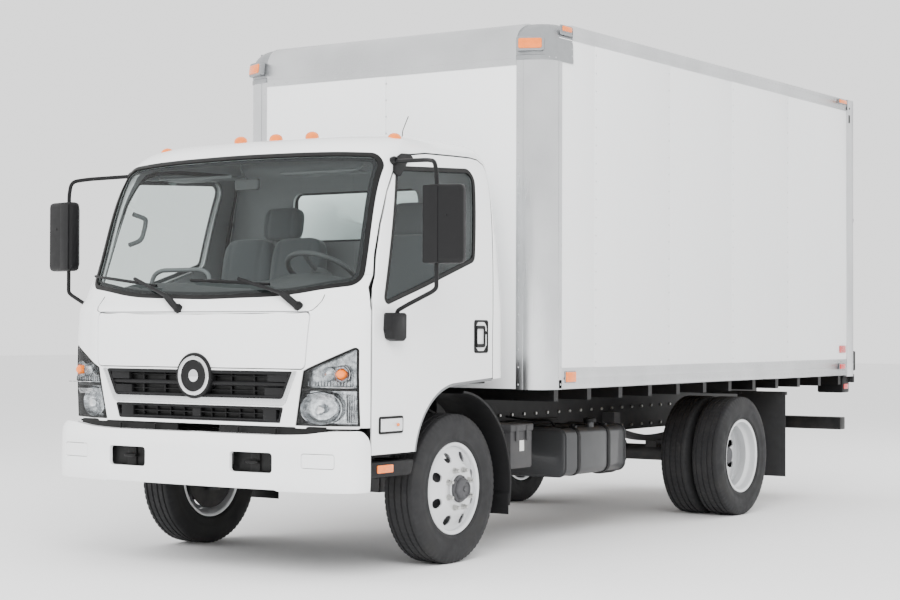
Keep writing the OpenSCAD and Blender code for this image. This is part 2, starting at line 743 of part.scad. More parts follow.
// Door outline, grown by its gaps to make the opening
function door_outline(front_gap, back_gap) =
    let (low = door_bottom - back_gap, edge = arch_edge(door_back + back_gap))
    concat(rounded([edge[0], [door_back + back_gap, 1510 + back_gap],
                    [-598 - front_gap, 1503 + back_gap], [door_front - front_gap, 655],
                    [door_front - front_gap, low]], [0, 95, 110, 200, 0]),
           [for (i = [len(edge) - 1:-1:1]) [edge[i].x, max(edge[i].y, low)]]);

WINDOW = rounded([[-785, 650], [-330, 782], [170, 885], [205, 1425], [-545, 1405]],
                 [40, 500, 60, 80, 60]);
// Windscreen outline in its own raked plane, measured up from its lower middle
RAKE = 20.9;
WINDSCREEN = rounded([[0, 0], [560, 22], [928, 94], [854, 838], [-854, 838], [-928, 94], [-560, 22]],
                     [0, 0, 80, 90, 90, 80, 0]);
LID_TOP = [765, 613];
LID_LOW = [745, 302];
LAMP_BACK = door_front - door_front_gap - 12;
LAMP = [[700, 3], [cab_x - 41, 3], [cab_x - 41, 428], [752, 298]];
UPPER_GRILLE = mirrored([[667, 292], [585, 151]]);
LOWER_GRILLE = mirrored([[606, 102], [581, 23]]);

function lid_outline(edge, side) =
    rounded([[LID_TOP.x + side, LID_TOP.y + edge], [LID_LOW.x + side, LID_LOW.y - edge],
             [-LID_LOW.x - side, LID_LOW.y - edge], [-LID_TOP.x - side, LID_TOP.y + edge]],
            [30, 30, 30, 30]);
function lamp_outline(grow) =
    [LAMP[0] + [-grow, -grow], LAMP[1] + [grow, -grow], LAMP[2] + [grow, grow], LAMP[3] + [-grow, grow]];

module windscreen_cut() {
    translate([0, -1000, 700]) rotate([-RAKE, 0, 0]) front_plate(WINDSCREEN, -60, 112);
}

// Front panel below the windscreen, open for the grilles, lid and lamps
module cab_front() {
    color(WHITE) on_frame() difference() {
        intersection() {
            cab_skin();
            block([-1200, -1200, 3], [1200, door_front - door_front_gap, 735]);
        }
        windscreen_cut();
        front_plate(lid_outline(lid_gap, lid_side_gap), -1200, -900);
        front_plate(UPPER_GRILLE, -1200, -900);
        front_plate(LOWER_GRILLE, -1200, -900);
        both_sides() front_plate(lamp_outline(0), -1200, LAMP_BACK);
    }
}

// Pillars, roof, back wall and the panels behind the doors
module cab_frame() {
    color(WHITE) on_frame() difference() {
        cab_skin();
        block([-1200, -1200, -200], [1200, door_front - door_front_gap, 735]);
        windscreen_cut();
        side_plate(door_outline(door_front_gap, door_back_gap), -1200, 1200);
        translate([0, -2, 2])
            side_plate(concat(arch_edge(cab_back + 20), [[cab_back + 20, arch_bottom]]), -1200, 1200);
        front_plate(rectangle([-640, 880], [640, 1330], 60), cab_back - cab_wall - 10, cab_back + 10);
    }
}

// Floor pan with its bulkhead, step wells, seat risers and the tilt bushings
module cab_floor() {
    w = cab_x - cab_wall - 25;
    well_x = w - 220;
    z0 = 210;
    z1 = 250;
    back = cab_back - cab_wall;
    plan = mirrored([[w - 225, -950], [w - 55, -865], [w, -825], [w, back - 50], [w - 50, back]]);
    color(DARK_GREY) on_frame() {
        difference() {
            union() {
                translate([0, 0, z0]) linear_extrude(z1 - z0) polygon(plan);
                both_sides() block([well_x - 8, -868, -145], [w, -480, z0 + 5]);
            }
            both_sides() block([well_x, -860, -130], [w + 1, -488, z1 + 5]);
        }
        translate([0, 0, z1 - 1]) linear_extrude(390) difference() {
            polygon(plan);
            translate([0, 25]) polygon(plan);
            translate([-1200, -800]) square([2400, 1400]);
        }
        block([250, -440, z1 - 1], [790, 30, 520]);
        block([-880, -440, z1 - 1], [-60, 30, 520]);
        both_sides() difference() {
            union() {
                translate([rail_x + 18, tilt_y, tilt_z]) rotate([0, 90, 0]) cylinder(r = 30, h = 54);
                block([rail_x + 18, tilt_y - 25, tilt_z], [rail_x + 72, tilt_y + 25, z0 + 1]);
            }
            translate([rail_x, tilt_y, tilt_z]) rotate([0, 90, 0])
                cylinder(d = tilt_pin_d + 2 * bearing_gap, h = 100);
        }
    }
}

// Curved windscreen and the flat back window
module cab_glass() {
    color(GLASS) on_frame() {
        intersection() {
            difference() {
                cab_space(8);
                cab_space(15);
            }
            windscreen_cut();
        }
        front_plate(rectangle([-640, 880], [640, 1330], 60), cab_back - 32, cab_back - 26);
    }
}

// Black slatted grille inserts, above and below the bright strip
module grille() {
    color(BLACK) on_frame() {
        difference() {
            front_plate(UPPER_GRILLE, -1050, -1035);
            for (z = [180, 215, 250])
                front_plate(rectangle([-540, z], [540, z + 18], 0), -1060, -1030);
        }
        front_plate(LOWER_GRILLE, -1045, -1030);
    }
}

ROOF_LAMPS = [-840, -265, 0, 265, 840];
module cab_lamps() {
    color(AMBER) on_frame() {
        intersection() {
            difference() {
                cab_space(4);
                cab_space(40);
            }
            both_sides() front_plate(lamp_outline(-2), -1200, LAMP_BACK);
        }
        difference() {
            for (x = ROOF_LAMPS)
                translate([x, -380, abs(x) > 500 ? 1560 : 1600]) cylinder(r = 36, h = 55);
            cab_space(0);
        }
    }
}

// Dashboard moulding with the steering column
wheel_c = [520, -610, 830];
wheel_tilt = 32;
module dashboard() {
    w = cab_x - cab_wall - 55;
    plan = mirrored([[w - 198, -924], [w - 30, -838], [w, -795], [w, -600]]);
    profile = rounded([[-925, 440], [-925, 665], [-800, 665], [-700, 600], [-720, 470]],
                      [0, 20, 40, 30, 30]);
    hood = rounded([[-905, 620], [-868, 776], [-730, 800], [-655, 740], [-690, 580]],
                   [0, 25, 50, 40, 20]);
    hood_x = w - 170;
    color(BLACK) on_frame() {
        intersection() {
            union() {
                side_plate(profile, -w, w);
                side_plate(hood, -hood_x, hood_x);
            }
            linear_extrude(1000) polygon(plan);
        }
        translate(wheel_c) rotate([-wheel_tilt, 0, 0]) translate([0, 0, -260])
            cylinder(r = 38, h = 215);
    }
}

// Driver's seat and the double passenger seat
headrest_w = 290;
module seats() {
    color(DARK_GREY) on_frame() for (s = [[520, 500], [-470, 780]]) translate([s[0], 0, 0]) {
        side_plate(rounded([[-470, 522], [50, 522], [60, 660], [-470, 690]], [30, 30, 50, 60]),
                   -s[1] / 2, s[1] / 2);
        side_plate(rounded([[70, 560], [195, 560], [272, 1065], [190, 1075]], [40, 30, 35, 35]),
                   -s[1] / 2, s[1] / 2);
        side_plate(rounded([[200, 1045], [266, 1040], [305, 1265], [228, 1275]], [0, 0, 35, 35]),
                   -headrest_w / 2, headrest_w / 2);
    }
}

// Wiper arms and blades resting on the glass
WIPERS = [[-560, -960], [400, -40]];
module wipers() {
    color(BLACK) on_frame() for (w = WIPERS) {
        tube([[w[0], -1035, 690], [w[0], -1050, 712], [(w[0] + w[1]) / 2, -1018, 752]], 7);
        tube([[w[1], -975, 775], [(w[0] + w[1]) / 2, -1018, 752], [w[0] + 60, -1012, 735]], 6);
    }
}

module front_lid() {
    color(WHITE) on_frame() intersection() {
        cab_skin();
        front_plate(lid_outline(0, 0), -1200, -900);
    }
}

// Door shell with its window cut
module door(side) {
    color(WHITE) on_frame() scale_side(side) difference() {
        intersection() {
            cab_skin();
            side_plate(door_outline(0, 0), 700, 1200);
        }
        side_plate(WINDOW, 600, 1200);
    }
}

module door_glass(side) {
    z = UPPER_LEVELS[0][0];
    color(GLASS) on_frame() scale_side(side) translate([side_x(z) - 26, 0, z]) rotate([0, -side_lean, 0])
        translate([0, 0, -z]) rotate([90, 0, 90]) linear_extrude(5) offset(delta = -3) polygon(WINDOW);
}

// Two-arm mirror: head, upper and lower tubes and their brackets
mirror_x = 1393;
mirror_y = -690;
mirror_z = 1076;
module door_mirror(side) {
    arm_x = mirror_x - 48;
    top = mirror_z + mirror_h / 2;
    low = mirror_z - mirror_h / 2;
    block_x = cab_x;
    color(BLACK) on_frame() scale_side(side) {
        translate([mirror_x, mirror_y, low]) rotate([0, 0, 12]) linear_extrude(mirror_h)
            polygon(rectangle([-mirror_w / 2, -45], [mirror_w / 2, 45], 30));
        tube([[side_x(1435) + 20, -560, 1435], [arm_x - 20, mirror_y - 8, 1408],
              [arm_x, mirror_y, 1385], [arm_x, mirror_y, top - 5]], 11);
        tube([[arm_x, mirror_y, low + 5], [arm_x, mirror_y, 745], [arm_x - 25, mirror_y, 722],
              [block_x + 55, -700, 650], [block_x + 42, -705, 600]], 11);
        translate([side_x(1435), -565, 1435]) rotate([0, -side_lean, 0])
            block([0, -35, -38], [42, 35, 38]);
        block([block_x, -785, 462], [block_x + 68, -650, 612]);
    }
}

module steering_wheel() {
    color(BLACK) on_frame() translate(wheel_c) rotate([-wheel_tilt, 0, 0]) {
        rotate_extrude() translate([205, 0]) circle(r = 15);
        for (a = [0, 120, 240]) rotate([0, 0, a + 90]) block([40, -16, -22], [198, 16, -8]);
        translate([0, 0, -40]) cylinder(r = 62, h = 40);
    }
}

frame();
front_bumper();
engine();
front_axle();
rear_axle();
fuel_tank();
battery_box();
side_steps();
mudflaps();
floor_beams();
cargo_floor();
box_front_wall();
box_front_frame();
box_side_walls();
box_rails();
box_roof();
rear_frame();
rear_door();
body_lamps();
rear_bumpers();
cab_front();
cab_frame();
cab_floor();
cab_glass();
grille();
cab_lamps();
dashboard();
seats();
wipers();
front_lid();
door(1);  // left_door
door_glass(1);  // left_door_glass
door_mirror(1);  // left_mirror
door(-1);  // right_door
door_glass(-1);  // right_door_glass
door_mirror(-1);  // right_mirror
steering_wheel();
knuckle_node(1);  // left_knuckle
knuckle_node(-1);  // right_knuckle
front_wheel_node(1);  // left_front_wheel
front_tyre_node(1);  // left_front_tyre
front_wheel_node(-1);  // right_front_wheel
front_tyre_node(-1);  // right_front_tyre
rear_wheels_node(1);  // left_rear_wheels
rear_tyres_node(1);  // left_rear_tyres
rear_wheels_node(-1);  // right_rear_wheels
rear_tyres_node(-1);  // right_rear_tyres
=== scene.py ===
import math

import bmesh
import bpy
import numpy as np
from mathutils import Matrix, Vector
from mathutils.geometry import delaunay_2d_cdt


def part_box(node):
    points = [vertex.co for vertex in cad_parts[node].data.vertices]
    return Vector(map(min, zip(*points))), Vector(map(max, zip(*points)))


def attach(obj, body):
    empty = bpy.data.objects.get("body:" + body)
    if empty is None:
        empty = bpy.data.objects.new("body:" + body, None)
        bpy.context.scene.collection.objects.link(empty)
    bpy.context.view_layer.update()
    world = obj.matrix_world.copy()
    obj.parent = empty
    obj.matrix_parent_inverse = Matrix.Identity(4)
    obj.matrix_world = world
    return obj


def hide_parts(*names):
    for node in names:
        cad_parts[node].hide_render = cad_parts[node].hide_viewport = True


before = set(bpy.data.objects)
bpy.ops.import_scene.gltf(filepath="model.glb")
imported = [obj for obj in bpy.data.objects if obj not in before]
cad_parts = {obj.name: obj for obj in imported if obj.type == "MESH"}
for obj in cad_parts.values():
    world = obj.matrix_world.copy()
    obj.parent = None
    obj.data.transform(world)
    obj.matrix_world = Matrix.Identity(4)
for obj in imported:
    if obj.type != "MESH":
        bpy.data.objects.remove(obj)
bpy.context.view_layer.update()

# ---- Camera: a long lens a little over a metre up, off the truck's front left corner,
# taking in the whole truck.
cam = bpy.data.cameras.new("camera")
cam.lens, cam.sensor_width = 75.2, 36.0
camera = bpy.data.objects.new("camera", cam)
bpy.context.scene.collection.objects.link(camera)
camera.location = (6.896, -11.094, 1.326)
camera.rotation_mode = "XYZ"
camera.rotation_euler = (math.radians(90.878), math.radians(-0.166), math.radians(33.786))
bpy.context.scene.camera = camera

# ---- Floor and light: a pale floor under an even white sky, with three soft lamps.
# The floor has no texture. Nothing here belongs to the truck.
world = bpy.data.worlds.new("studio")
bpy.context.scene.world = world
world.use_nodes = True
sky = world.node_tree.nodes["Background"]
sky.inputs["Color"].default_value = (1.0, 1.0, 1.0, 1)
sky.inputs["Strength"].default_value = 1.7
floor_mesh = bpy.data.meshes.new("floor")
floor_mesh.from_pydata([(-60, -60, 0), (60, -60, 0), (60, 60, 0), (-60, 60, 0)], [], [(0, 1, 2, 3)])
floor = bpy.data.objects.new("floor", floor_mesh)
bpy.context.scene.collection.objects.link(floor)
floor_look = bpy.data.materials.new("floor")
floor_look.use_nodes = True
floor_look.node_tree.nodes["Principled BSDF"].inputs["Base Color"].default_value = (0.86, 0.86, 0.86, 1)
floor_look.node_tree.nodes["Principled BSDF"].inputs["Roughness"].default_value = 0.8
floor_mesh.materials.append(floor_look)
for name, place, turn, size, power in (
    ("key", (5.5, -9.0, 6.5), (52, 0, 32), 6.0, 1300),
    ("fill", (-7.5, -7.0, 5.0), (60, 0, -48), 6.0, 500),
    ("back", (4.0, 9.0, 7.0), (-50, 0, -25), 6.0, 500),
):
    lamp = bpy.data.lights.new(name, "AREA")
    lamp.size, lamp.energy = size, power
    lamp_object = bpy.data.objects.new(name, lamp)
    lamp_object.visible_glossy = False
    lamp_object.location = place
    lamp_object.rotation_euler = [math.radians(a) for a in turn]
    bpy.context.scene.collection.objects.link(lamp_object)


# ---- Chassis frame, engine, axles and floor beams: the CAD pieces themselves, in
# black or dark grey chassis paint with a film of road dust low down.


class Value:
    """A shader socket. Maths on it adds Math nodes; made() adds any other node."""

    def __init__(self, tree, socket):
        self.tree, self.socket = tree, socket

    def made(self, kind, inputs, out=0, **settings):
        node = self.tree.nodes.new("ShaderNode" + kind)
        for key, setting in settings.items():
            setattr(node, key, setting)
        for key, value in inputs.items():
            if isinstance(value, Value):
                self.tree.links.new(value.socket, node.inputs[key])
            else:
                node.inputs[key].default_value = value
        return Value(self.tree, node.outputs[out])

    def maths(self, operation, *others):
        return self.made("Math", dict(enumerate((self, *others))), operation=operation)

    def __add__(self, other):
        return self.maths("ADD", other)

    def __sub__(self, other):
        return self.maths("SUBTRACT", other)

    def __mul__(self, other):
        return self.maths("MULTIPLY", other)

    def __truediv__(self, other):
        return self.maths("DIVIDE", other)

    def __rsub__(self, other):
        return self.made("Math", {0: other, 1: self}, operation="SUBTRACT")

    __radd__, __rmul__ = __add__, __mul__

    def part(self, low, high):
        """0 below low, 1 above high, and even between them."""
        return ((self - low) / (high - low)).maths("MINIMUM", 1).maths("MAXIMUM", 0)

    def blend(self, a, b):
        """Colour a where this is 0 and colour b where it is 1."""
        return self.made("Mix", {0: self, 6: a, 7: b}, out=2, data_type="RGBA")

    def noise(self, scale, detail=3, stretch=(1, 1, 1)):
        at = self.made("VectorMath", {0: self, 1: stretch}, operation="MULTIPLY")
        return self.made("TexNoise", {"Vector": at, "Scale": scale, "Detail": detail})


def finish(name, colour, rough, metal=0.0, coat=0.0, look=None, **sockets):
    """A Principled material. look(place, height) returns more sockets that vary, and a bump."""
    material = bpy.data.materials.new(name)
    material.use_nodes = True
    tree = material.node_tree
    shader = tree.nodes["Principled BSDF"]
    sockets = {"Base Color": (*colour, 1), "Roughness": rough, "Metallic": metal,
               "Coat Weight": coat, "Coat Roughness": 0.05, **sockets}
    start = Value(tree, tree.nodes.new("ShaderNodeTexCoord").outputs["Object"])
    height = start.made("SeparateXYZ", {0: start}, out=2)
    more = look(start, height) if look else {}
    bump = more.pop("bump", None)
    sockets.update(more)
    if bump:
        strength, distance, value = bump
        sockets["Normal"] = start.made("Bump", {"Strength": strength, "Distance": distance, "Height": value})
    for key, value in sockets.items():
        if isinstance(value, Value):
            tree.links.new(value.socket, shader.inputs[key])
        else:
            shader.inputs[key].default_value = value
    return material


def dusty(colour, dust, rough, top=0.9):
    """Paint that is dustier low down and in patches."""
    def look(place, height):
        patch = place.noise(9, 5).part(0.35, 0.75)
        low = 1 - height.part(0.15, top)
        share = patch * low * 0.2
        return {"Base Color": share.blend((*colour, 1), (*dust, 1)),
                "Roughness": share * 0.3 + rough,
                "bump": (0.12, 0.002, place.noise(90, 4))}
    return look


DUST = (0.23, 0.21, 0.19)
CHASSIS = finish("chassis_black", (0.006, 0.006, 0.0065), 0.42,
                 look=dusty((0.006, 0.006, 0.0065), DUST, 0.42),
                 **{"Specular IOR Level": 0.3})
CAST = finish("cast_grey", (0.035, 0.035, 0.037), 0.55, look=dusty((0.035, 0.035, 0.037), DUST, 0.55))
ENGINE = finish("engine_grey", (0.055, 0.056, 0.058), 0.5, metal=0.4,
                look=dusty((0.055, 0.056, 0.058), DUST, 0.5))
for node, look in (("frame", CHASSIS), ("floor_beams", CHASSIS), ("engine", ENGINE), ("front_axle", CAST),
                   ("rear_axle", CAST), ("left_knuckle", CAST), ("right_knuckle", CAST)):
    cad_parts[node].data.materials.clear()
    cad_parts[node].data.materials.append(look)

# ---- Frame bolts, pipes and tanks: zinc bolts in the rail webs, two air tanks, brake
# pipes clipped along the rails, three rubber hoses and an exhaust box on the right.

ORIGIN = np.array([0, sum(c.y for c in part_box("left_front_tyre")) / 2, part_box("floor_beams")[0].z])


class Shape:
    """Gathers the faces of one piece, in mm, with y from the front axle and z from the rails."""

    def __init__(self):
        self.points, self.faces, self.count = [], [], 0

    def add(self, shape, flip=False):
        points, faces = shape
        points = np.asarray(points, float).reshape(-1, 3)
        if flip:
            points = points * (-1, 1, 1)
        self.points.append(points)
        for face in faces:
            face = [i + self.count for i in face]
            self.faces.append(face[::-1] if flip else face)
        self.count += len(points)
        return self

    def both(self, shape):
        return self.add(shape).add(shape, flip=True)

    def piece(self, name, look, body, right=False, angle=38, closed=True, replaces=(), slot=None):
        points = np.vstack(self.points) * ((-1, 1, 1) if right else (1, 1, 1)) / 1000 + ORIGIN
        faces = [f[::-1] for f in self.faces] if right else self.faces
        mesh = bpy.data.meshes.new(name)
        mesh.from_pydata(points.tolist(), [], faces)
        work = bmesh.new()
        work.from_mesh(mesh)
        bmesh.ops.remove_doubles(work, verts=work.verts, dist=2e-5)
        bmesh.ops.dissolve_degenerate(work, edges=work.edges, dist=1e-6)
        if closed:
            bmesh.ops.recalc_face_normals(work, faces=work.faces)
        work.to_mesh(mesh)
        work.free()
        mesh.shade_smooth()
        mesh.set_sharp_from_angle(angle=math.radians(angle))
        mesh.materials.append(look)
        made = bpy.data.objects.new(name, mesh)
        bpy.context.scene.collection.objects.link(made)
        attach(made, body)
        if replaces:
            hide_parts(*replaces)
        return made


def closed_rings(rings, caps=True):
    """Faces between rings of the same number of points, each ring a closed loop."""
    n = len(rings[0])
    faces = [[k * n + i, k * n + (i + 1) % n, (k + 1) * n + (i + 1) % n, (k + 1) * n + i]
             for k in range(len(rings) - 1) for i in range(n)]
    if caps:
        faces += [list(range(n))[::-1], [(len(rings) - 1) * n + i for i in range(n)]]
    return np.vstack(rings), faces


def inset(loop, by):
    """A counterclockwise loop drawn in by a distance, with mitred corners."""
    loop = np.asarray(loop, float)
    a = loop - np.roll(loop, 1, 0)
    b = np.roll(loop, -1, 0) - loop
    a /= np.maximum(np.linalg.norm(a, axis=1, keepdims=True), 1e-9)
    b /= np.maximum(np.linalg.norm(b, axis=1, keepdims=True), 1e-9)
    na, nb = np.stack([-a[:, 1], a[:, 0]], 1), np.stack([-b[:, 1], b[:, 0]], 1)
    mitre = na + nb
    mitre /= np.maximum((mitre * na).sum(1, keepdims=True), 0.35)
    return loop + mitre * np.reshape(by, (-1, 1))


def rounded(points, radii, n=5):
    """An outline with each corner rounded by its own radius."""
    out, points = [], [np.array(p, float) for p in points]
    radii = [radii] * len(points) if np.isscalar(radii) else radii
    for i, p in enumerate(points):
        if radii[i] == 0:
            out.append(p)
            continue
        u, v = points[i - 1] - p, points[(i + 1) % len(points)] - p
        u, v = u / np.linalg.norm(u), v / np.linalg.norm(v)
        half = math.acos(max(-1, min(1, float(u @ v)))) / 2
        c = p + (u + v) / np.linalg.norm(u + v) * radii[i] / math.sin(half)
        s, e = p + u * radii[i] / math.tan(half) - c, p + v * radii[i] / math.tan(half) - c
        a0, a1 = math.atan2(s[1], s[0]), math.atan2(e[1], e[0])
        sweep = (a1 - a0 + math.pi) % (2 * math.pi) - math.pi
        out += [c + radii[i] * np.array([math.cos(a0 + sweep * k / n), math.sin(a0 + sweep * k / n)])
                for k in range(n + 1)]
    return np.array(out)


def oval(a, b, r=0, n=5):
    """A rectangle from corner a to corner b, with rounded corners."""
    return rounded([a, (b[0], a[1]), b, (a[0], b[1])], r, n)


def prism(outline, axis, a, b, edge=0.0):
    """An outline pushed along x, y or z from a to b, with rounded end edges."""
    outline = np.asarray(outline, float)
    area = (outline[:, 0] * np.roll(outline[:, 1], -1) - np.roll(outline[:, 0], -1) * outline[:, 1]).sum()
    if area < 0:
        outline = outline[::-1]
    steps = [(a, 0), (b, 0)] if edge == 0 else [
        (a, edge), (a + 0.3 * edge, 0.3 * edge), (a + edge, 0), (b - edge, 0),
        (b - 0.3 * edge, 0.3 * edge), (b, edge)]
    rings = []
    for at, by in steps:
        ring = inset(outline, by) if by else outline
        u, v, w = ring[:, 0], ring[:, 1], np.full(len(ring), at)
        rings.append(np.stack({"x": (w, u, v), "y": (u, w, v), "z": (u, v, w)}[axis], 1))
    return closed_rings(rings)


def block(a, b, edge=2.0, axis="z"):
    """A box with small rounded edges."""
    a, b = np.minimum(a, b), np.maximum(a, b)
    i, j, k = {"x": (1, 2, 0), "y": (0, 2, 1), "z": (0, 1, 2)}[axis]
    return prism(oval((a[i], a[j]), (b[i], b[j]), edge * 1.01, 2), axis, a[k], b[k], edge)


def frame_for(direction):
    d = np.array(direction, float) / np.linalg.norm(direction)
    side = np.cross(d, (0, 0, 1) if abs(d[2]) < 0.9 else (1, 0, 0))
    side /= np.linalg.norm(side)
    return d, side, np.cross(d, side)


def lathe(profile, centre, axis, n=32, caps=False, start=0.0):
    """Turns (radius, along) points about an axis through centre."""
    d, s, t = frame_for(axis)
    turns = start + np.arange(n) * 2 * math.pi / n
    ring = np.cos(turns)[:, None] * s + np.sin(turns)[:, None] * t
    rings = [np.array(centre) + ring * max(r, 0.01) + d * along for r, along in profile]
    return closed_rings(rings, caps)


def smooth_path(points, bend, n=6):
    """A 3-D path with its corners rounded."""
    points = [np.array(p, float) for p in points]
    out = [points[0]]
    for i in range(1, len(points) - 1):
        p = points[i]
        u, v = points[i - 1] - p, points[i + 1] - p
        reach = min(bend, 0.45 * np.linalg.norm(u), 0.45 * np.linalg.norm(v))
        a, b = p + u / np.linalg.norm(u) * reach, p + v / np.linalg.norm(v) * reach
        out += [(1 - t) ** 2 * a + 2 * t * (1 - t) * p + t * t * b for t in np.linspace(0, 1, n)]
    return np.array(out + [points[-1]])


def tube(points, r, bend=60, n=12, caps=True):
    """A round tube along a path with rounded bends."""
    path = smooth_path(points, bend)
    tangent = np.gradient(path, axis=0)
    tangent /= np.linalg.norm(tangent, axis=1, keepdims=True)
    side = frame_for(tangent[0])[1]
    rings, turns = [], np.arange(n) * 2 * math.pi / n
    for p, d in zip(path, tangent):
        side = side - (side @ d) * d
        side /= np.linalg.norm(side)
        up = np.cross(d, side)
        rings.append(p + r * (np.cos(turns)[:, None] * side + np.sin(turns)[:, None] * up))
    return closed_rings(rings, caps)


def bolt(at, axis, r, h, sides=6):
    """A bolt head or nut with a chamfered top."""
    return lathe([(r, 0), (r, h * 0.8), (r * 0.86, h), (0, h)], at, axis, sides)


def rivet(at, axis, r=7, h=3):
    return lathe([(r, 0), (r * 0.8, h * 0.65), (r * 0.4, h * 0.95), (0, h)], at, axis, 8)


ZINC = finish("zinc_bolts", (0.62, 0.62, 0.60), 0.32, metal=1.0,
              look=lambda p, z: {"Roughness": p.noise(40).part(0.3, 0.7) * 0.2 + 0.25})
bolts = Shape()
for y in np.arange(-650, 5250, 150):
    for z in (-35, -165):
        if not (0 < (y * 7 + z) % 5 < 2):
            bolts.both(bolt((380, y, z), (1, 0, 0), 11, 9))
bolts.piece("frame_bolts", ZINC, "chassis")
pipes = Shape()
for z, x in ((-60, 392), (-78, 392), (-96, 392)):
    pipes.add(tube([(x, 480, z), (x, 1180, z), (x + 14, 1240, z - 14), (x + 14, 2150, z - 14)], 4.5, n=8))
    pipes.add(tube([(-x, -400, z), (-x, 3000, z)], 4.5, n=8))
pipes.piece("brake_pipes", CHASSIS, "chassis")
lines = Shape()
lines.add(tube([(250, 500, 40), (320, 560, 60), (340, 620, -40), (410, 700, -150), (560, 745, -180)], 9))
lines.add(tube([(330, 540, 20), (430, 600, -60), (520, 690, -110), (600, 740, -130)], 7))
lines.add(tube([(300, 560, 90), (380, 640, 30), (402, 760, -30), (402, 1300, -40)], 8))
lines.piece("chassis_hoses", finish("rubber_hose", (0.015, 0.015, 0.015), 0.6,
            look=lambda p, z: {"bump": (0.2, 0.001, p.noise(160))}), "chassis")
air = Shape()
for y in (2230, 2600):
    air.add(lathe([(0, -150), (70, -145), (98, -125), (105, -100), (105, 100), (98, 125), (70, 145),
                   (0, 150)],
                  (0, y, -250), (0, 1, 0), 32))
air.add(block((-300, 2180, -150), (300, 2240, -110))).add(block((-300, 2560, -150), (300, 2620, -110)))
air.piece("air_tanks", CAST, "chassis")
exhaust = Shape()
exhaust.add(prism(oval((-700, -430), (-420, -180), 90, 8), "y", 1180, 1880, 14))
exhaust.add(tube([(-330, 420, -260), (-420, 560, -300), (-540, 800, -300), (-560, 1190, -300)], 34, 90, 16))
exhaust.add(tube([(-560, 1870, -300), (-560, 2400, -300), (-640, 2460, -330)], 34, 60, 16, caps=False))
exhaust.piece("exhaust_box", finish("exhaust_steel", (0.32, 0.31, 0.30), 0.45, metal=1.0,
              look=lambda p, z: {"Roughness": p.noise(12, 4).part(0.3, 0.7) * 0.3 + 0.3}), "chassis")

# ---- Wheels and tyres: steel disc wheels in silver paint with nuts and hand holes, and
# ribbed tyres. Made by turning a section; the tread has grooves and cut shoulders.


def rubber_marks(place, height):
    fine = place.noise(220, 4)
    return {"Roughness": place.noise(14, 4).part(0.35, 0.7) * 0.18 + 0.62,
            "Base Color": place.noise(7, 4).part(0.5, 0.9).blend((0.017, 0.017, 0.018, 1),
                    (0.032, 0.031, 0.03, 1)),
            "bump": (0.15, 0.001, fine)}


RUBBER = finish("tyre_rubber", (0.012, 0.012, 0.013), 0.7, look=rubber_marks, **{"Specular IOR Level": 0.3})
SILVER = finish("wheel_silver", (0.70, 0.71, 0.72), 0.33, metal=0.55, coat=0.3,
                look=lambda p, z: {"Roughness": p.noise(30, 4).part(0.3, 0.8) * 0.14 + 0.3,
                                   "bump": (0.05, 0.0008, p.noise(150))})
HUB = finish("hub_grey", (0.09, 0.09, 0.095), 0.5, metal=0.6,
             look=lambda p, z: {"Roughness": p.noise(60).part(0.3, 0.7) * 0.2 + 0.42})
TYRE_R, BEAD_R, DISC = 423, 246, 122.5


def tyre_shape(x, y):
    """Ring of tread blocks: five ribs, four grooves, sipes across the shoulders."""
    wall = [(BEAD_R + 2, 84), (BEAD_R + 12, 88), (268, 95), (276, 103), (284, 104), (290, 102), (318, 110),
            (345, 112.4), (352, 111.2), (358, 112), (378, 109), (392, 105), (402, 101)]
    crown = [(TYRE_R - 12, 97), (TYRE_R - 5, 92.5), (TYRE_R - 2, 90)]
    tread = []
    for centre in (62, 22):
        tread += [(TYRE_R - 0.5, centre + 6), (TYRE_R - 9, centre + 4), (TYRE_R - 11, centre),
                  (TYRE_R - 9, centre - 4), (TYRE_R - 0.2, centre - 6)]
    half = wall + crown + tread
    section = [(BEAD_R + 2, 60)] + half + [(r, -w) for r, w in half[::-1]] + [(BEAD_R + 2, -60)]
    n = 288
    turns = np.arange(n) * 2 * math.pi / n
    cut = (np.arange(n) % 4 == 0)
    rings = []
    for r, w in section:
        depth = np.zeros(n)
        if 90 <= abs(w) <= 101.5 and r > 400:
            depth = np.where(cut, 5.0, 0.0)
        if abs(abs(w) - 62) == 6 or abs(abs(w) - 22) == 6:
            depth = np.where(np.arange(n) % 4 == 2, 2.5, 0.0)
        radius = r - depth
        rings.append(np.stack([np.full(n, x + w), y + radius * np.cos(turns),
                               AXLE_Z + radius * np.sin(turns)], 1))
    return closed_rings(rings, caps=False)


AXLE_Z = -377.0


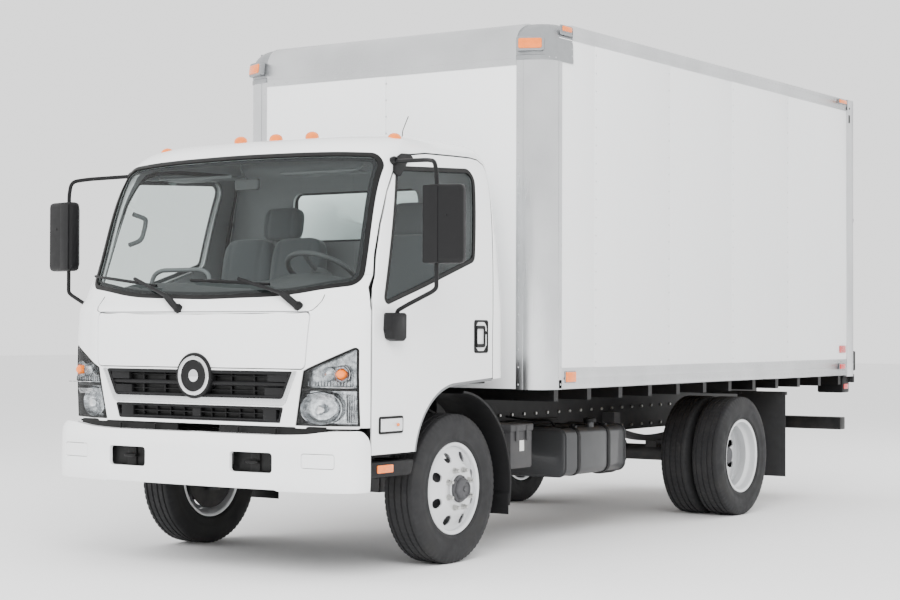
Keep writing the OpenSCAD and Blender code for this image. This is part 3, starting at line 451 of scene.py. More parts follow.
def cut_disc(x, y, out, holes=8):
    """Dished wheel disc with round hand holes, built as rings round the hub with the points near each hole
    drawn out to its edge.
    """
    radii = [84, 108, 140, 146, 156, 166, 178, 194, 210, 219, 228, 236, 242]
    front = np.interp(radii, [84, 140, 146, 216, 240, 242], [0, 0, -3, -44, -50, -56])
    n = 192
    turns = np.arange(n) * 2 * math.pi / n
    hole_r, hole_at = 29.0, 189.0
    grid = np.stack([np.stack([np.full(n, f), r * np.cos(turns), r * np.sin(turns)], 1)
                     for r, f in zip(radii, front)])
    centres = []
    for k in range(holes):
        a = (k + 0.5) * 2 * math.pi / holes
        centres.append(np.array([hole_at * math.cos(a), hole_at * math.sin(a)]))
    for c in centres:
        off = grid[:, :, 1:] - c
        dist = np.linalg.norm(off, axis=2)
        inside = dist < hole_r + 0.01
        grid[:, :, 1:] = np.where(inside[..., None], c + off / np.maximum(dist, 1e-6)[..., None] * hole_r,
                                  grid[:, :, 1:])
    # The holes are cut in the faces whose four corners were drawn to a hole's edge.
    m = len(radii)
    faces = []
    holes_mask = np.zeros((m, n), bool)
    for c in centres:
        holes_mask |= np.linalg.norm(grid[:, :, 1:] - c, axis=2) < hole_r + 0.1
    for i in range(m - 1):
        for j in range(n):
            q = [(i, j), (i, (j + 1) % n), (i + 1, (j + 1) % n), (i + 1, j)]
            if not all(holes_mask[p] for p in q):
                faces.append([p[0] * n + p[1] for p in q])
    flat = grid.reshape(-1, 3)
    back = flat - (9, 0, 0)
    count = len(flat)
    all_faces = faces + [[i + count for i in f[::-1]] for f in faces]
    edges = {}
    for f in faces:
        for a, b in zip(f, f[1:] + f[:1]):
            edges[(a, b)] = edges.get((a, b), 0) + 1
    for a, b in edges:
        if (b, a) not in edges:
            all_faces.append([b, a, a + count, b + count])
    both = np.vstack([flat, back]) * (out, 1, 1) + (x, y, AXLE_Z)
    if out < 0:
        all_faces = [f[::-1] for f in all_faces]
    return both, all_faces


def rim_shape(x, y, out):
    """The rolled rim: flanges, bead seats, humps and the well, all in one turned section."""
    section = [(241, -89), (252, -93.5), (259, -93.5), (262, -90), (261, -86), (254, -84.5), (246, -82),
               (245, -50), (240, -46), (236, -30), (226, -20), (226, 20), (236, 30), (240, 46), (245, 50),
               (246, 82), (254, 84.5), (261, 86), (262, 90), (259, 93.5), (252, 93.5), (241, 89), (238, 78),
               (238, 50), (231, 34), (219, 22), (219, -22), (231, -34), (238, -50), (238, -78), (241, -89)]
    return lathe([(r, w * out) for r, w in section], (x, y, AXLE_Z), (1, 0, 0), 96)


def nuts(shape, x, y, out, circle=112.5):
    for k in range(8):
        a = math.radians(22.5 + 45 * k)
        at = (x, y + circle * math.cos(a), AXLE_Z + circle * math.sin(a))
        shape.add(lathe([(19, 0), (19, 2.5), (17, 3)], at, (out, 0, 0), 20, caps=True))
        shape.add(bolt((x + out * 2, at[1], at[2]), (out, 0, 0), 16.5, 19))
        shape.add(lathe([(9.5, 0), (9.5, 33), (8, 35), (0, 35)], at, (out, 0, 0), 12))


for side, right in (("left", False), ("right", True)):
    node = side + "_front_tyre"
    Shape().add(tyre_shape(900, 0)).piece(node + "_ribbed", RUBBER, side + "_front_wheel", right, 50,
                                         replaces=[node], slot="tyre")
    wheel = Shape().add(rim_shape(900, 0, 1)).add(cut_disc(900 + DISC, 0, 1))
    wheel.add(lathe([(84, -14), (84, 2), (80, 6), (76, 6)], (900 + DISC, 0, AXLE_Z), (1, 0, 0), 48))
    wheel.add(lathe([(6, 0), (6, 30), (4, 32), (0, 32)], (900 + DISC - 56, 172, AXLE_Z + 168),
                    (1, 0.25, 0.25), 10))
    wheel.piece(side + "_front_disc_wheel", SILVER, side + "_front_wheel", right, 35,
                replaces=[side + "_front_wheel"], slot="wheel_paint")
    hub = Shape().add(lathe([(165, -190), (165, -76), (137, -62), (137, -9.6), (70, -9.6)],
                            (900 + DISC, 0, AXLE_Z),
                            (1, 0, 0), 64))
    hub.add(lathe([(153, -190), (153, -110), (60, -90), (32, -90), (32, -190)], (900 + DISC, 0, AXLE_Z),
                  (1, 0, 0), 48))
    hub.add(lathe([(78, -4), (78, 10), (74, 18), (62, 22), (62, 30), (58, 40), (50, 50), (44, 53), (40, 53),
                   (38, 47),
                   (16, 45), (14, 50), (0, 51)], (900 + DISC, 0, AXLE_Z), (1, 0, 0), 48))
    for k in range(6):
        a = math.radians(60 * k + 12)
        hub.add(bolt((900 + DISC + 17, 69 * math.cos(a), AXLE_Z + 69 * math.sin(a)), (1, 0, 0), 6.5, 7))
    hub.piece(side + "_front_hub", HUB, side + "_front_wheel", right, 35)
    shield = Shape().add(lathe([(64, 0), (206, 0), (208, 3), (206, 5), (150, 5), (140, 2), (64, 2), (64, 0)],
                               (816, 0, AXLE_Z), (1, 0, 0), 64))
    shield.add(lathe([(34, 0), (34, -26), (24, -32), (0, -33)], (815, -120, AXLE_Z + 40), (1, 0, 0), 20))
    shield.piece(side + "_brake_shield", CHASSIS, side + "_knuckle", right)
    bolts = Shape()
    nuts(bolts, 900 + DISC, 0, 1)
    bolts.piece(side + "_front_nuts", ZINC, side + "_front_wheel", right)

    tyres = Shape().add(tyre_shape(922.5 + DISC, 3500)).add(tyre_shape(922.5 - DISC, 3500))
    tyres.piece(side + "_rear_tyres_ribbed", RUBBER, side + "_rear_wheels", right, 50,
                replaces=[side + "_rear_tyres"], slot="tyre")
    wheels = Shape().add(rim_shape(922.5 + DISC, 3500, -1)).add(cut_disc(922.5, 3500, -1))
    wheels.add(rim_shape(922.5 - DISC, 3500, 1)).add(cut_disc(922.5, 3500, 1))
    wheels.piece(side + "_rear_disc_wheels", SILVER, side + "_rear_wheels", right, 35,
                 replaces=[side + "_rear_wheels"], slot="wheel_paint")
    hub = Shape().add(lathe([(165, -230), (165, -60), (84, -44), (84, 12), (82, 54), (74, 64), (70, 86),
                             (64, 104),
                             (56, 116), (0, 118)], (922.5, 3500, AXLE_Z), (1, 0, 0), 64))
    hub.add(lathe([(153, -230), (153, -90), (60, -90), (40.2, -90), (40.2, -230)], (922.5, 3500, AXLE_Z),
                  (1, 0, 0), 48))
    for k in range(8):
        a = math.radians(45 * k + 10)
        hub.add(bolt((922.5 + 64, 3500 + 76 * math.cos(a), AXLE_Z + 76 * math.sin(a)), (1, 0, 0), 6, 9))
    hub.piece(side + "_rear_hub", HUB, side + "_rear_wheels", right, 35)
    bolts = Shape()
    nuts(bolts, 922.5 + 9, 3500, 1)
    bolts.piece(side + "_rear_nuts", ZINC, side + "_rear_wheels", right)

# ---- Fuel tank, battery box, steps and guards: painted steel tank with straps and a cap,
# moulded steps and guards in black plastic, the battery box in grey with a blank label.
PLASTIC = finish("black_plastic", (0.006, 0.006, 0.0065), 0.45, **{"Specular IOR Level": 0.25},
                 look=lambda p, z: {"Roughness": p.noise(20, 4).part(0.3, 0.8) * 0.12 + 0.46,
                                    "bump": (0.12, 0.0005, p.noise(700, 2))})
TANK = finish("tank_paint", (0.038, 0.039, 0.041), 0.36, metal=0.3, coat=0.25,
              look=lambda p, z: {"Roughness": p.noise(6, 5).part(0.3, 0.8) * 0.16 + 0.32,
                                 "bump": (0.06, 0.002, p.noise(14))})
tank = Shape().add(prism(oval((480, -400), (950, -100), 58, 8), "y", 1317, 2105, 22))
tank.add(prism(oval((474, -406), (956, -94), 62, 8), "y", 1317 + 9, 1317 + 15, 2))
tank.add(prism(oval((474, -406), (956, -94), 62, 8), "y", 2105 - 15, 2105 - 9, 2))
tank.add(lathe([(26, 0), (26, 40)], (890, 1731, -110), (0, 0, 1), 24, caps=True))
tank.piece("fuel_tank_shell", TANK, "chassis", replaces=["fuel_tank"], slot="tank_paint")
straps = Shape()
for y in (1490, 1876):
    straps.add(prism(oval((476, -405), (955, -96), 62, 8), "y", y - 19, y + 19, 2))
    straps.add(block((380, y - 25, -180), (490, y + 25, -112), 4))
    straps.add(bolt((905, y, -94), (0, 0, 1), 9, 16)).add(block((880, y - 12, -98), (930, y + 12, -84), 2))
straps.add(lathe([(38, 0), (41, 4), (41, 22), (37, 27), (20, 30), (0, 30)], (890, 1731, -74), (0, 0, 1), 32))
for k in range(3):
    a = math.radians(120 * k + 20)
    straps.add(block((890 + 30 * math.cos(a) - 6, 1731 + 30 * math.sin(a) - 6, -50),
                     (890 + 30 * math.cos(a) + 6, 1731 + 30 * math.sin(a) + 6, -42), 2))
straps.add(tube([(700, 1600, -98), (700, 1560, -60), (560, 1500, -60), (420, 1460, -40)], 7))
straps.piece("tank_straps", PLASTIC, "chassis")
battery = Shape().add(prism(oval((560, -320), (900, -70), 16), "y", 752, 998, 5))
battery.add(prism(oval((552, -96), (908, -50), 10), "y", 744, 1006, 6))
for x in (640, 730, 820):
    battery.add(block((x - 6, 744, -300), (x + 6, 756, -110), 2))
battery.add(block((380, 820, -170), (570, 930, -110), 3))
battery.add(block((902, 800, -150), (912, 830, -60), 2)).add(block((902, 920, -150), (912, 950, -60), 2))
battery.piece("battery_case", CAST, "chassis", replaces=["battery_box"], slot="black_plastic")
LABEL = finish("blank_label", (0.72, 0.72, 0.70), 0.5)
Shape().add(block((899, 855, -215), (901, 905, -150), 0.4, "x")).piece("battery_label", LABEL, "chassis")
steps = Shape()
outline = rounded([(-893, -262), (-516, -262), (-484, -180), (-893, -180)], [14, 26, 14, 12])
steps.both(prism(outline, "x", 848, 1058, 8))
for k in range(5):
    steps.both(block((870, -880 + k * 16, -181), (1040, -873 + k * 16, -176), 1))
    steps.both(block((870, -600 + k * 16, -181), (1040, -593 + k * 16, -176), 1))
steps.both(block((366, -740, -245), (860, -680, -205), 4))
steps.piece("side_step_mouldings", PLASTIC, "chassis", replaces=["side_steps"], slot="black_plastic")

# ---- Cargo box floor and front wall: aluminium-skinned white front wall riveted to the
# posts, and hardwood floor boards on the beams inside.


def paint_marks(colour, dust=0.10):
    def look(place, height):
        patch = place.noise(1.6, 5).part(0.4, 0.8)
        streak = place.noise(5, 4, (1.5, 1.5, 0.12)).part(0.45, 0.8)
        dirt = (1 - height.part(0.75, 1.5)) * patch * dust + streak * 0.02
        return {"Base Color": dirt.blend((*colour, 1), (0.50, 0.48, 0.45, 1)),
                "Roughness": patch * 0.06 + 0.3}
    return look


def brushed(stretch, base=0.28):
    def look(place, height):
        grain = place.noise(160, 3, stretch)
        cloud = place.noise(2.5, 4)
        return {"Roughness": grain * 0.14 + cloud * 0.1 + (base - 0.1),
                "Base Color": cloud.part(0.3, 0.7).blend((0.60, 0.61, 0.62, 1), (0.72, 0.73, 0.74, 1)),
                "bump": (0.05, 0.0006, grain)}
    return look


BOX_WHITE = finish("box_white", (0.86, 0.87, 0.875), 0.34, coat=0.15, look=paint_marks((0.86, 0.87, 0.875)))
POST = finish("aluminium_upright", (0.66, 0.67, 0.68), 0.3, metal=1.0, look=brushed((1, 1, 0.03)))
RAIL = finish("aluminium_rail", (0.66, 0.67, 0.68), 0.3, metal=1.0, look=brushed((1, 0.03, 1)))
CASTING = finish("cast_aluminium", (0.36, 0.37, 0.38), 0.42, metal=0.85,
                 look=lambda p, z: {"Roughness": p.noise(25, 4).part(0.3, 0.8) * 0.2 + 0.36,
                                    "bump": (0.15, 0.0008, p.noise(280))})
RIVET = finish("rivets", (0.66, 0.67, 0.68), 0.35, metal=0.9,
               look=lambda p, z: {"Roughness": p.noise(300).part(0.3, 0.7) * 0.2 + 0.3})
HALF, Z0, TOP, HEAD, FRONT, BACK, POST_Y = 1165, 163, 2376, 2145, 706, 5550, 5416
CX, CY = HALF - 160, FRONT + 160
front_wall = Shape().add(block((-964, FRONT + 1, Z0 + 4), (-3, FRONT + 36, HEAD + 3), 1.2))
front_wall.add(block((-1, FRONT + 2, Z0 + 4), (964, FRONT + 36, HEAD + 3), 1.2))
front_wall.piece("front_wall_sheets", BOX_WHITE, "chassis", replaces=["box_front_wall"], slot="box_paint")
wood = finish("floor_boards", (0.35, 0.23, 0.13), 0.55, look=lambda p, z: {
    "Base Color": p.noise(6, 5, (8, 0.5, 1)).part(0.3, 0.7).blend((0.30, 0.19, 0.10, 1),
            (0.42, 0.29, 0.17, 1)),
    "bump": (0.1, 0.001, p.noise(30, 4, (8, 0.4, 1)))})
boards = Shape()
for k in range(14):
    x = -1120 + 160 * k
    start = 750 if 0 < k < 13 else 790
    boards.add(block((x + 1, start, 190), (x + 159, POST_Y, 230), 1.5))
boards.piece("hardwood_floor", wood, "chassis", replaces=["cargo_floor"], slot="floor_wood")

# ---- Corner posts, header and caps: quarter-round aluminium posts with riveting flanges,
# a rounded front header, and cast corner caps with amber lamps let into them.


def arc_points(c, r, a0, a1, n=14):
    a = np.radians(np.linspace(a0, a1, n + 1))
    return np.stack([c[0] + r * np.cos(a), c[1] + r * np.sin(a)], 1)


post = np.vstack([arc_points((CX, CY), 160, -90, 0), [(HALF, CY + 40)], [(HALF - 3, CY + 42)],
                  [(HALF - 3, CY + 14)],
                  [(HALF - 38, CY + 14)], arc_points((CX, CY), 122, 0, -90),
                  [(CX - 42, FRONT + 38), (CX - 42, FRONT), (CX - 40, FRONT - 2), (CX - 4, FRONT - 2)]])
posts = Shape().both(prism(post, "z", Z0, HEAD, 0.8))
for x, y in ((CX + 5, FRONT), (HALF, CY + 2)):
    posts.both(block((x - 2.4, y - 2.6, Z0 + 2), (x + 2.4, y + 2.4, HEAD), 1.2))
posts.piece("corner_posts", POST, "chassis", replaces=["box_front_frame"], slot="rail_aluminium")
bow = np.vstack([[(FRONT - 2, HEAD - 34), (FRONT - 2, HEAD)],
                 arc_points((FRONT + 150, TOP - 150), 152, 180, 90),
                 [(CY + 14, TOP + 2), (CY + 14, TOP - 28)],
                 arc_points((FRONT + 150, TOP - 150), 112, 90, 180),
                 [(FRONT + 38, HEAD - 34)]])
header = Shape().add(prism(bow, "x", -963, 963, 0.8))
header.add(block((-963, FRONT - 5, HEAD + 8), (963, FRONT + 2, HEAD + 15), 2, "x"))
header.piece("front_header", RAIL, "chassis", slot="rail_aluminium")


def cap_ring(inward, z, thin=0):
    r = (160 - thin) * (1 - inward / 400)
    side = min(inward * 0.18, 24)
    at = (CX - side, CY + inward * 0.9)
    ring = np.vstack([arc_points(at, r, -90, 0, 16), [(at[0] + r, CY + 170)], [(963, CY + 170)],
                      [(963, at[1] - r)]])
    return np.column_stack([ring, np.full(len(ring), z)])


steps = [(0, HEAD - 6), (-2, HEAD - 4), (-3, HEAD), (-3, HEAD + 20), (0, HEAD + 24)]
steps += [(150 * (1 - math.cos(math.radians(a))),
           TOP - 150 + 150 * math.sin(math.radians(a))) for a in range(0, 85, 7)]
steps += [(146, TOP + 1)]
caps = Shape().both(closed_rings([cap_ring(i - 1.5, z) for i, z in steps]))
caps.piece("corner_castings", CASTING, "chassis", slot="rail_aluminium")


def turned_block(size, centre, turn, edge=3.0, lean=0.0):
    """A rounded block turned about z, then leaned back; its front faces -y before turning."""
    w, t, h = size
    points, faces = prism(oval((-w / 2, -h / 2), (w / 2, h / 2), min(w, h) * 0.18), "y", -t / 2, t / 2, edge)
    b, a = math.radians(lean), math.radians(turn)
    lean_m = np.array([[1, 0, 0], [0, math.cos(b), -math.sin(b)], [0, math.sin(b), math.cos(b)]])
    turn_m = np.array([[math.cos(a), -math.sin(a), 0], [math.sin(a), math.cos(a), 0], [0, 0, 1]])
    return points @ (turn_m @ lean_m).T + np.array(centre), faces


def lens(name, colour, glow, ribs=60.0):
    """Ribbed coloured plastic, clear enough to look deep."""
    return finish(name, colour, 0.12, coat=0.8, look=lambda p, z: {
        "Base Color": p.noise(35, 2).part(0.3, 0.7).blend((*[c * 0.8 for c in colour], 1), (*colour, 1)),
        "bump": (0.35, 0.0012, (z * ribs * 6.283).maths("SINE"))},
        **{"Emission Color": (*glow, 1), "Emission Strength": 0.3})


AMBER = lens("amber_lens", (0.85, 0.17, 0.004), (1.0, 0.24, 0.0), 130)
RED = lens("red_lens", (0.55, 0.01, 0.012), (0.7, 0.02, 0.02), 130)
REFLECTOR = finish("red_reflector", (0.62, 0.012, 0.015), 0.1, coat=1.0, look=lambda p, z: {
    "bump": (0.5, 0.001, (z * 1400).maths("SINE") * ((p.made("SeparateXYZ", {0: p},
                                                             out=1)) * 1400).maths("SINE"))})
hoods, amber = Shape(), Shape()
for turn, at, lean in ((26, (1055, 716, 2232), -6),):
    hoods.both(turned_block((168, 40, 92), at, turn, 7, lean))
    amber.both(turned_block((142, 40, 62), (at[0] + 3, at[1] - 7, at[2]), turn, 6, lean))
hoods.both(block((HALF - 8, CY + 20, TOP - 74), (HALF + 1, CY + 160, TOP - 14), 3, "x"))
hoods.piece("cap_lamp_hoods", CASTING, "chassis", slot="rail_aluminium")

# ---- Side walls, rails and roof: white sheets lapped at riveted seams, extruded bottom and
# top rails with two rivet rows, and a white roof skin on its bows.
seams = [880, 1328, 2315, 3302, 4253, POST_Y]
sheets = Shape()
for k, (a, b) in enumerate(zip(seams, seams[1:])):
    out = 1161.5 if k % 2 else 1160
    sheets.both(block((1127, a - (14 if k else 0), 290), (out, b + (14 if k < 4 else 0), 2284), 1.0, "x"))
sheets.piece("side_sheets", BOX_WHITE, "chassis", replaces=["box_side_walls"], slot="box_paint")
low = rounded([(1123, Z0), (1158, Z0), (HALF, Z0 + 6), (HALF, Z0 + 58), (1161, Z0 + 64), (1161, Z0 + 68),
               (1164, Z0 + 72), (1164, Z0 + 126), (1160, Z0 + 130), (1123, Z0 + 130)], 1.2, 2)
high = rounded([(1123, TOP - 95), (1161, TOP - 95), (1164, TOP - 92), (1164, TOP - 66), (HALF, TOP - 62),
                (HALF, TOP - 12), (1153, TOP), (1123, TOP)], 1.2, 2)
rails = Shape().both(prism(low, "y", CY + 6, POST_Y, 0.8)).both(prism(high, "y", CY + 168, POST_Y, 0.8))
rails.piece("side_rails", RAIL, "chassis", replaces=["box_rails"], slot="rail_aluminium")
roof = Shape()
for a, b in zip(range(880, 5400, 1134), list(range(2014, 5400, 1134)) + [POST_Y]):
    roof.add(block((-1123, max(a, 1040), TOP - 26), (1123, b - 3, TOP - 5), 1.5, "x"))
roof.add(block((-963, 880, TOP - 26), (963, 1042, TOP - 5), 1, "x"))
roof.piece("roof_skin", BOX_WHITE, "chassis", replaces=["box_roof"], slot="box_paint")
bows = Shape()
for y in range(1300, 5300, 610):
    bows.add(block((-1120, y - 22, TOP - 58), (1120, y + 22, TOP - 26), 2, "x"))
bows.piece("roof_bows", RAIL, "chassis")

rivets = Shape()
for z in np.arange(Z0 + 30, HEAD - 10, 104):
    rivets.add(rivet((0.5, FRONT + 1, z), (0, -1, 0), 6))
    rivets.both(rivet((CX - 24, FRONT - 2, z), (0, -1, 0)))
    rivets.both(rivet((HALF, CY + 27, z), (1, 0, 0)))
for x in np.arange(-900, 901, 100):
    rivets.add(rivet((x, FRONT - 2, HEAD - 18), (0, -1, 0)))
for y in np.arange(CY + 60, POST_Y - 10, 64):
    rivets.both(rivet((HALF, y, Z0 + 34), (1, 0, 0), 6)).both(rivet((1164, y + 32, Z0 + 112), (1, 0, 0), 6))
    if y > CY + 190:
        rivets.both(rivet((1164, y, TOP - 80), (1, 0, 0), 6)).both(rivet((HALF, y + 32, TOP - 30), (1, 0, 0),
                6))
for y in seams[1:-1]:
    for z in np.arange(Z0 + 160, TOP - 110, 112):
        rivets.both(rivet((1161.5, y, z), (1, 0, 0), 6))
for y in np.arange(CY + 24, CY + 170, 34):
    rivets.both(rivet((HALF - 1, y, HEAD + 10), (1, 0, 0), 6))
for a in (-80, -60, -30, -12):
    c, s = math.cos(math.radians(a)), math.sin(math.radians(a))
    rivets.both(rivet((CX + 162 * c, CY + 162 * s, HEAD + 10), (c, s, 0), 6))
for z in np.arange(HEAD + 40, TOP - 20, 42):
    rivets.both(rivet((HALF - 1 - max(0, z - 2250) * 0.02, CY + 158, z), (1, 0, 0), 6))
for z in np.arange(Z0 + 20, TOP - 70, 92):
    rivets.both(rivet((HALF, POST_Y + 12, z), (1, 0, 0), 6))
rivets.piece("box_rivets", RIVET, "chassis")

# ---- Rear frame, roll-up door and its fittings: aluminium posts, header and sill round a
# closed door of jointed boards with its side tracks, latch, strap and grab handles.
gate = Shape().both(block((1075, POST_Y, Z0 - 10), (HALF, BACK, TOP), 4))
gate.add(block((-1076, POST_Y, TOP - 190), (1076, BACK, TOP), 3, "x"))
gate.add(block((-1076, POST_Y, Z0), (1076, BACK, 230), 3, "x"))
gate.both(block((HALF - 12, BACK - 26, Z0 + 4), (HALF + 1, BACK - 20, TOP - 6), 1.5))
gate.both(block((HALF - 10, BACK - 12, 1395), (HALF + 6, BACK + 2, 1425), 2))
gate.piece("rear_portal", POST, "chassis", replaces=["rear_frame"], slot="rail_aluminium")
boards = Shape()
DOOR_LOW, DOOR_HIGH, BOARDS = 233, 2183, 7
pitch = (DOOR_HIGH - DOOR_LOW) / BOARDS
for k in range(BOARDS):
    z = DOOR_LOW + pitch * k
    boards.add(block((-1071, 5477, z + 2), (1071, 5500, z + pitch - 2), 4, "x"))
boards.piece("door_boards", BOX_WHITE, "chassis", replaces=["rear_door"], slot="box_paint")
fittings = Shape()
for k in range(1, BOARDS):
    for x in (-900, -300, 300, 900):
        fittings.add(block((x - 28, 5499, DOOR_LOW + pitch * k - 34),
                           (x + 28, 5503, DOOR_LOW + pitch * k + 34), 1))
        fittings.add(lathe([(0, -30), (6, -30), (6, 30), (0, 30)], (x, 5503, DOOR_LOW + pitch * k), (1, 0, 0),
                           12))
fittings.add(block((-90, 5499, 262), (90, 5508, 372), 3)).add(block((-18, 5506, 250), (18, 5520, 330), 4))
fittings.add(tube([(-60, 5506, 330), (-60, 5530, 330), (60, 5530, 330), (60, 5506, 330)], 7, 14))
for s in (-1, 1):
    x = s * 1110
    fittings.add(tube([(x, BACK - 1, 420), (x, BACK + 28, 440), (x, BACK + 28, 800), (x, BACK - 1, 820)], 9,
                      26))
fittings.piece("door_hinges_and_latch", ZINC, "chassis")
tracks = Shape().both(block((1060, 5462, DOOR_LOW), (1076, 5512, DOOR_HIGH), 2))
tracks.add(block((-6, 5508, 400), (6, 5511, 640), 1)).add(block((-1070, 5500, 2176), (1070, 5508, 2186), 1,
                                                                "x"))
tracks.add(block((-1070, 5498, 231), (1070, 5508, 246), 2, "x"))
tracks.both(prism(oval((1112, TOP - 190), (1166, TOP - 120), 6), "y", POST_Y + 30, POST_Y + 62, 2))
tracks.piece("door_tracks_and_seals", PLASTIC, "chassis")
slots = Shape().both(block((HALF - 1, POST_Y - 6, TOP - 88), (HALF + 1.2, POST_Y + 5, TOP - 6), 0.4))
slots.both(lathe([(9, 0), (9, 1.4), (0, 1.4)], (HALF, POST_Y + 48, TOP - 70), (1, 0, 0), 16))
slots.piece("post_joint_slots", PLASTIC, "chassis")

# ---- Lamps on the box: amber and red markers in grey shrouds, red reflectors, and tail
# lamp boxes under the rear corners with red, amber and clear lenses facing back.
shrouds, red, reflect, clear = Shape(), Shape(), Shape(), Shape()
for y0, y1, z0, z1, kind in ((896, 1004, TOP - 52, TOP - 20, amber), (946, 1062, Z0 + 42, Z0 + 105, amber),
                             (5239, 5385, TOP - 44, TOP - 15, amber), (5248, 5352, Z0 + 53, Z0 + 93, red)):
    shrouds.both(prism(oval((y0 - 5, z0 - 5), (y1 + 5, z1 + 5), 9), "x", HALF - 1, HALF + 6, 2))
    kind.both(prism(oval((y0, z0), (y1, z1), 8), "x", HALF + 2, HALF + 14, 5))
reflect.both(prism(oval((5263, 344), (5384, 401), 6), "x", 1161, 1168, 2))
for s in (-1, 1):
    for x, w in ((965, 60), (1060, 60)):
        red.add(prism(oval((s * x - w / 2, TOP - 118), (s * x + w / 2, TOP - 84), 8), "y", BACK, BACK + 12,
                      4))
for x in (-220, 0, 220):
    red.add(prism(oval((x - 45, TOP - 118), (x + 45, TOP - 84), 8), "y", BACK, BACK + 12, 4))
housing = Shape().both(prism(oval((918, Z0 - 140), (1132, Z0 - 12), 14), "y", BACK - 150, BACK - 12, 5))
housing.both(block((960, BACK - 120, Z0 - 16), (1090, BACK - 60, Z0), 2))
housing.piece("tail_lamp_boxes", PLASTIC, "chassis", replaces=["body_lamps"])
for x, kind in ((960, clear), (1025, amber), (1090, red)):
    kind.both(lathe([(28, 0), (28, 4), (24, 9), (12, 12), (0, 13)], (x, BACK - 13, Z0 - 76), (0, 1, 0), 28))
red.both(prism(oval((5425, Z0 - 110), (5515, Z0 - 70), 8), "x", 1130, 1136, 2))
CLEAR = finish("clear_lens", (0.92, 0.93, 0.94), 0.06, coat=1.0, look=lambda p, z: {
    "bump": (0.3, 0.001, (z * 900).maths("SINE"))})
amber.piece("amber_lamp_lenses", AMBER, "chassis", slot="amber_lens")
red.piece("red_lamp_lenses", RED, "chassis")
reflect.piece("side_reflectors", REFLECTOR, "chassis")
clear.piece("reversing_lenses", CLEAR, "chassis")
shrouds.piece("lamp_shrouds", CASTING, "chassis")

# ---- Flaps, guards, underrun bar and dock bumpers: rubber and black-painted steel, with
# bolt heads where they hang from their brackets.
flaps = Shape()
flaps.both(block((702, 4356, -582), (1098, 4362, 58), 2, "y"))
flaps.both(block((380, 4362, 32), (1100, 4390, 58), 3, "x"))
for x in (730, 900, 1070):
    flaps.both(bolt((x, 4356, 42), (0, -1, 0), 11, 7))
guard = Shape()
angles = np.radians(np.linspace(-14, 86, 40))
section = [(540, 700), (536, 703), (536, 1022), (540, 1030), (552, 1031), (552, 1026), (545, 1022),
           (545, 706)]
rings = [np.array([(x, r * math.cos(a), AXLE_Z + r * math.sin(a)) for r, x in section]) for a in angles]
guard.both(closed_rings(rings))
guard.both(block((702, 520, AXLE_Z - 186), (1028, 527, AXLE_Z - 60), 2, "y"))
guard.both(block((380, 478, -50), (720, 508, -20), 3, "x"))
guard.piece("front_guards", PLASTIC, "chassis")
flaps.piece("rear_flaps", finish("flap_rubber", (0.016, 0.016, 0.017), 0.65, look=rubber_marks), "chassis",
            replaces=["mudflaps"])
under = Shape().add(prism(oval((BACK - 105, -275), (BACK - 5, -176), 10), "x", -1095, 1095, 4))
under.both(block((380, BACK - 260, -230), (394, BACK - 100, -20), 2))
under.piece("underrun_bar", CHASSIS, "chassis", replaces=["rear_bumpers"], slot="chassis_black")
docks = Shape().both(block((1096, BACK, Z0 + 35), (HALF - 1, 5600, Z0 + 193), 9))
docks.both(block((1100, BACK, Z0 - 60), (1160, BACK + 36, Z0 + 8), 6))
for z in (Z0 + 62, Z0 + 166):
    docks.both(lathe([(14, 0), (14, 1), (8, 1), (8, -8), (0, -8)], (1130, 5600.2, z), (0, 1, 0), 16))
docks.piece("dock_bumpers", RUBBER, "chassis")

# ---- Cab shell: pressed white panels, all cut from one smooth surface that runs round the
# cab and over its roof. Panels have rounded edges, turned-in flanges and a trim lining.


def easy(x, y, at, each=False):
    """Monotone cubic through y (..., n) at x (n). With each, row k of y is read at at[k] only."""
    h = np.diff(x)
    d = np.diff(y, axis=-1) / h
    m = np.zeros_like(y)
    w1, w2 = 2 * h[1:] + h[:-1], h[1:] + 2 * h[:-1]
    same = d[..., 1:] * d[..., :-1] > 1e-12
    m[..., 1:-1] = np.where(same, (w1 + w2) / (w1 / np.where(same, d[..., :-1], 1) + w2 / np.where(same,
            d[..., 1:], 1)), 0)
    m[..., 0], m[..., -1] = d[..., 0], d[..., -1]
    i = np.clip(np.searchsorted(x, at) - 1, 0, len(x) - 2)
    t, g = (at - x[i]) / h[i], h[i]
    rows = np.arange(len(y))
    if each:
        t, g = t[:, None], g[:, None]
    y0, y1, m0, m1 = (a[rows, :, j] if each else a[..., j] for a,
                      j in ((y, i), (y, i + 1), (m, i), (m, i + 1)))
    a, b, c = 2 * t ** 3 - 3 * t ** 2 + 1, t ** 3 - 2 * t ** 2 + t, t ** 3 - t ** 2
    return a * y0 + b * g * m0 + (1 - a) * y1 + c * g * m1


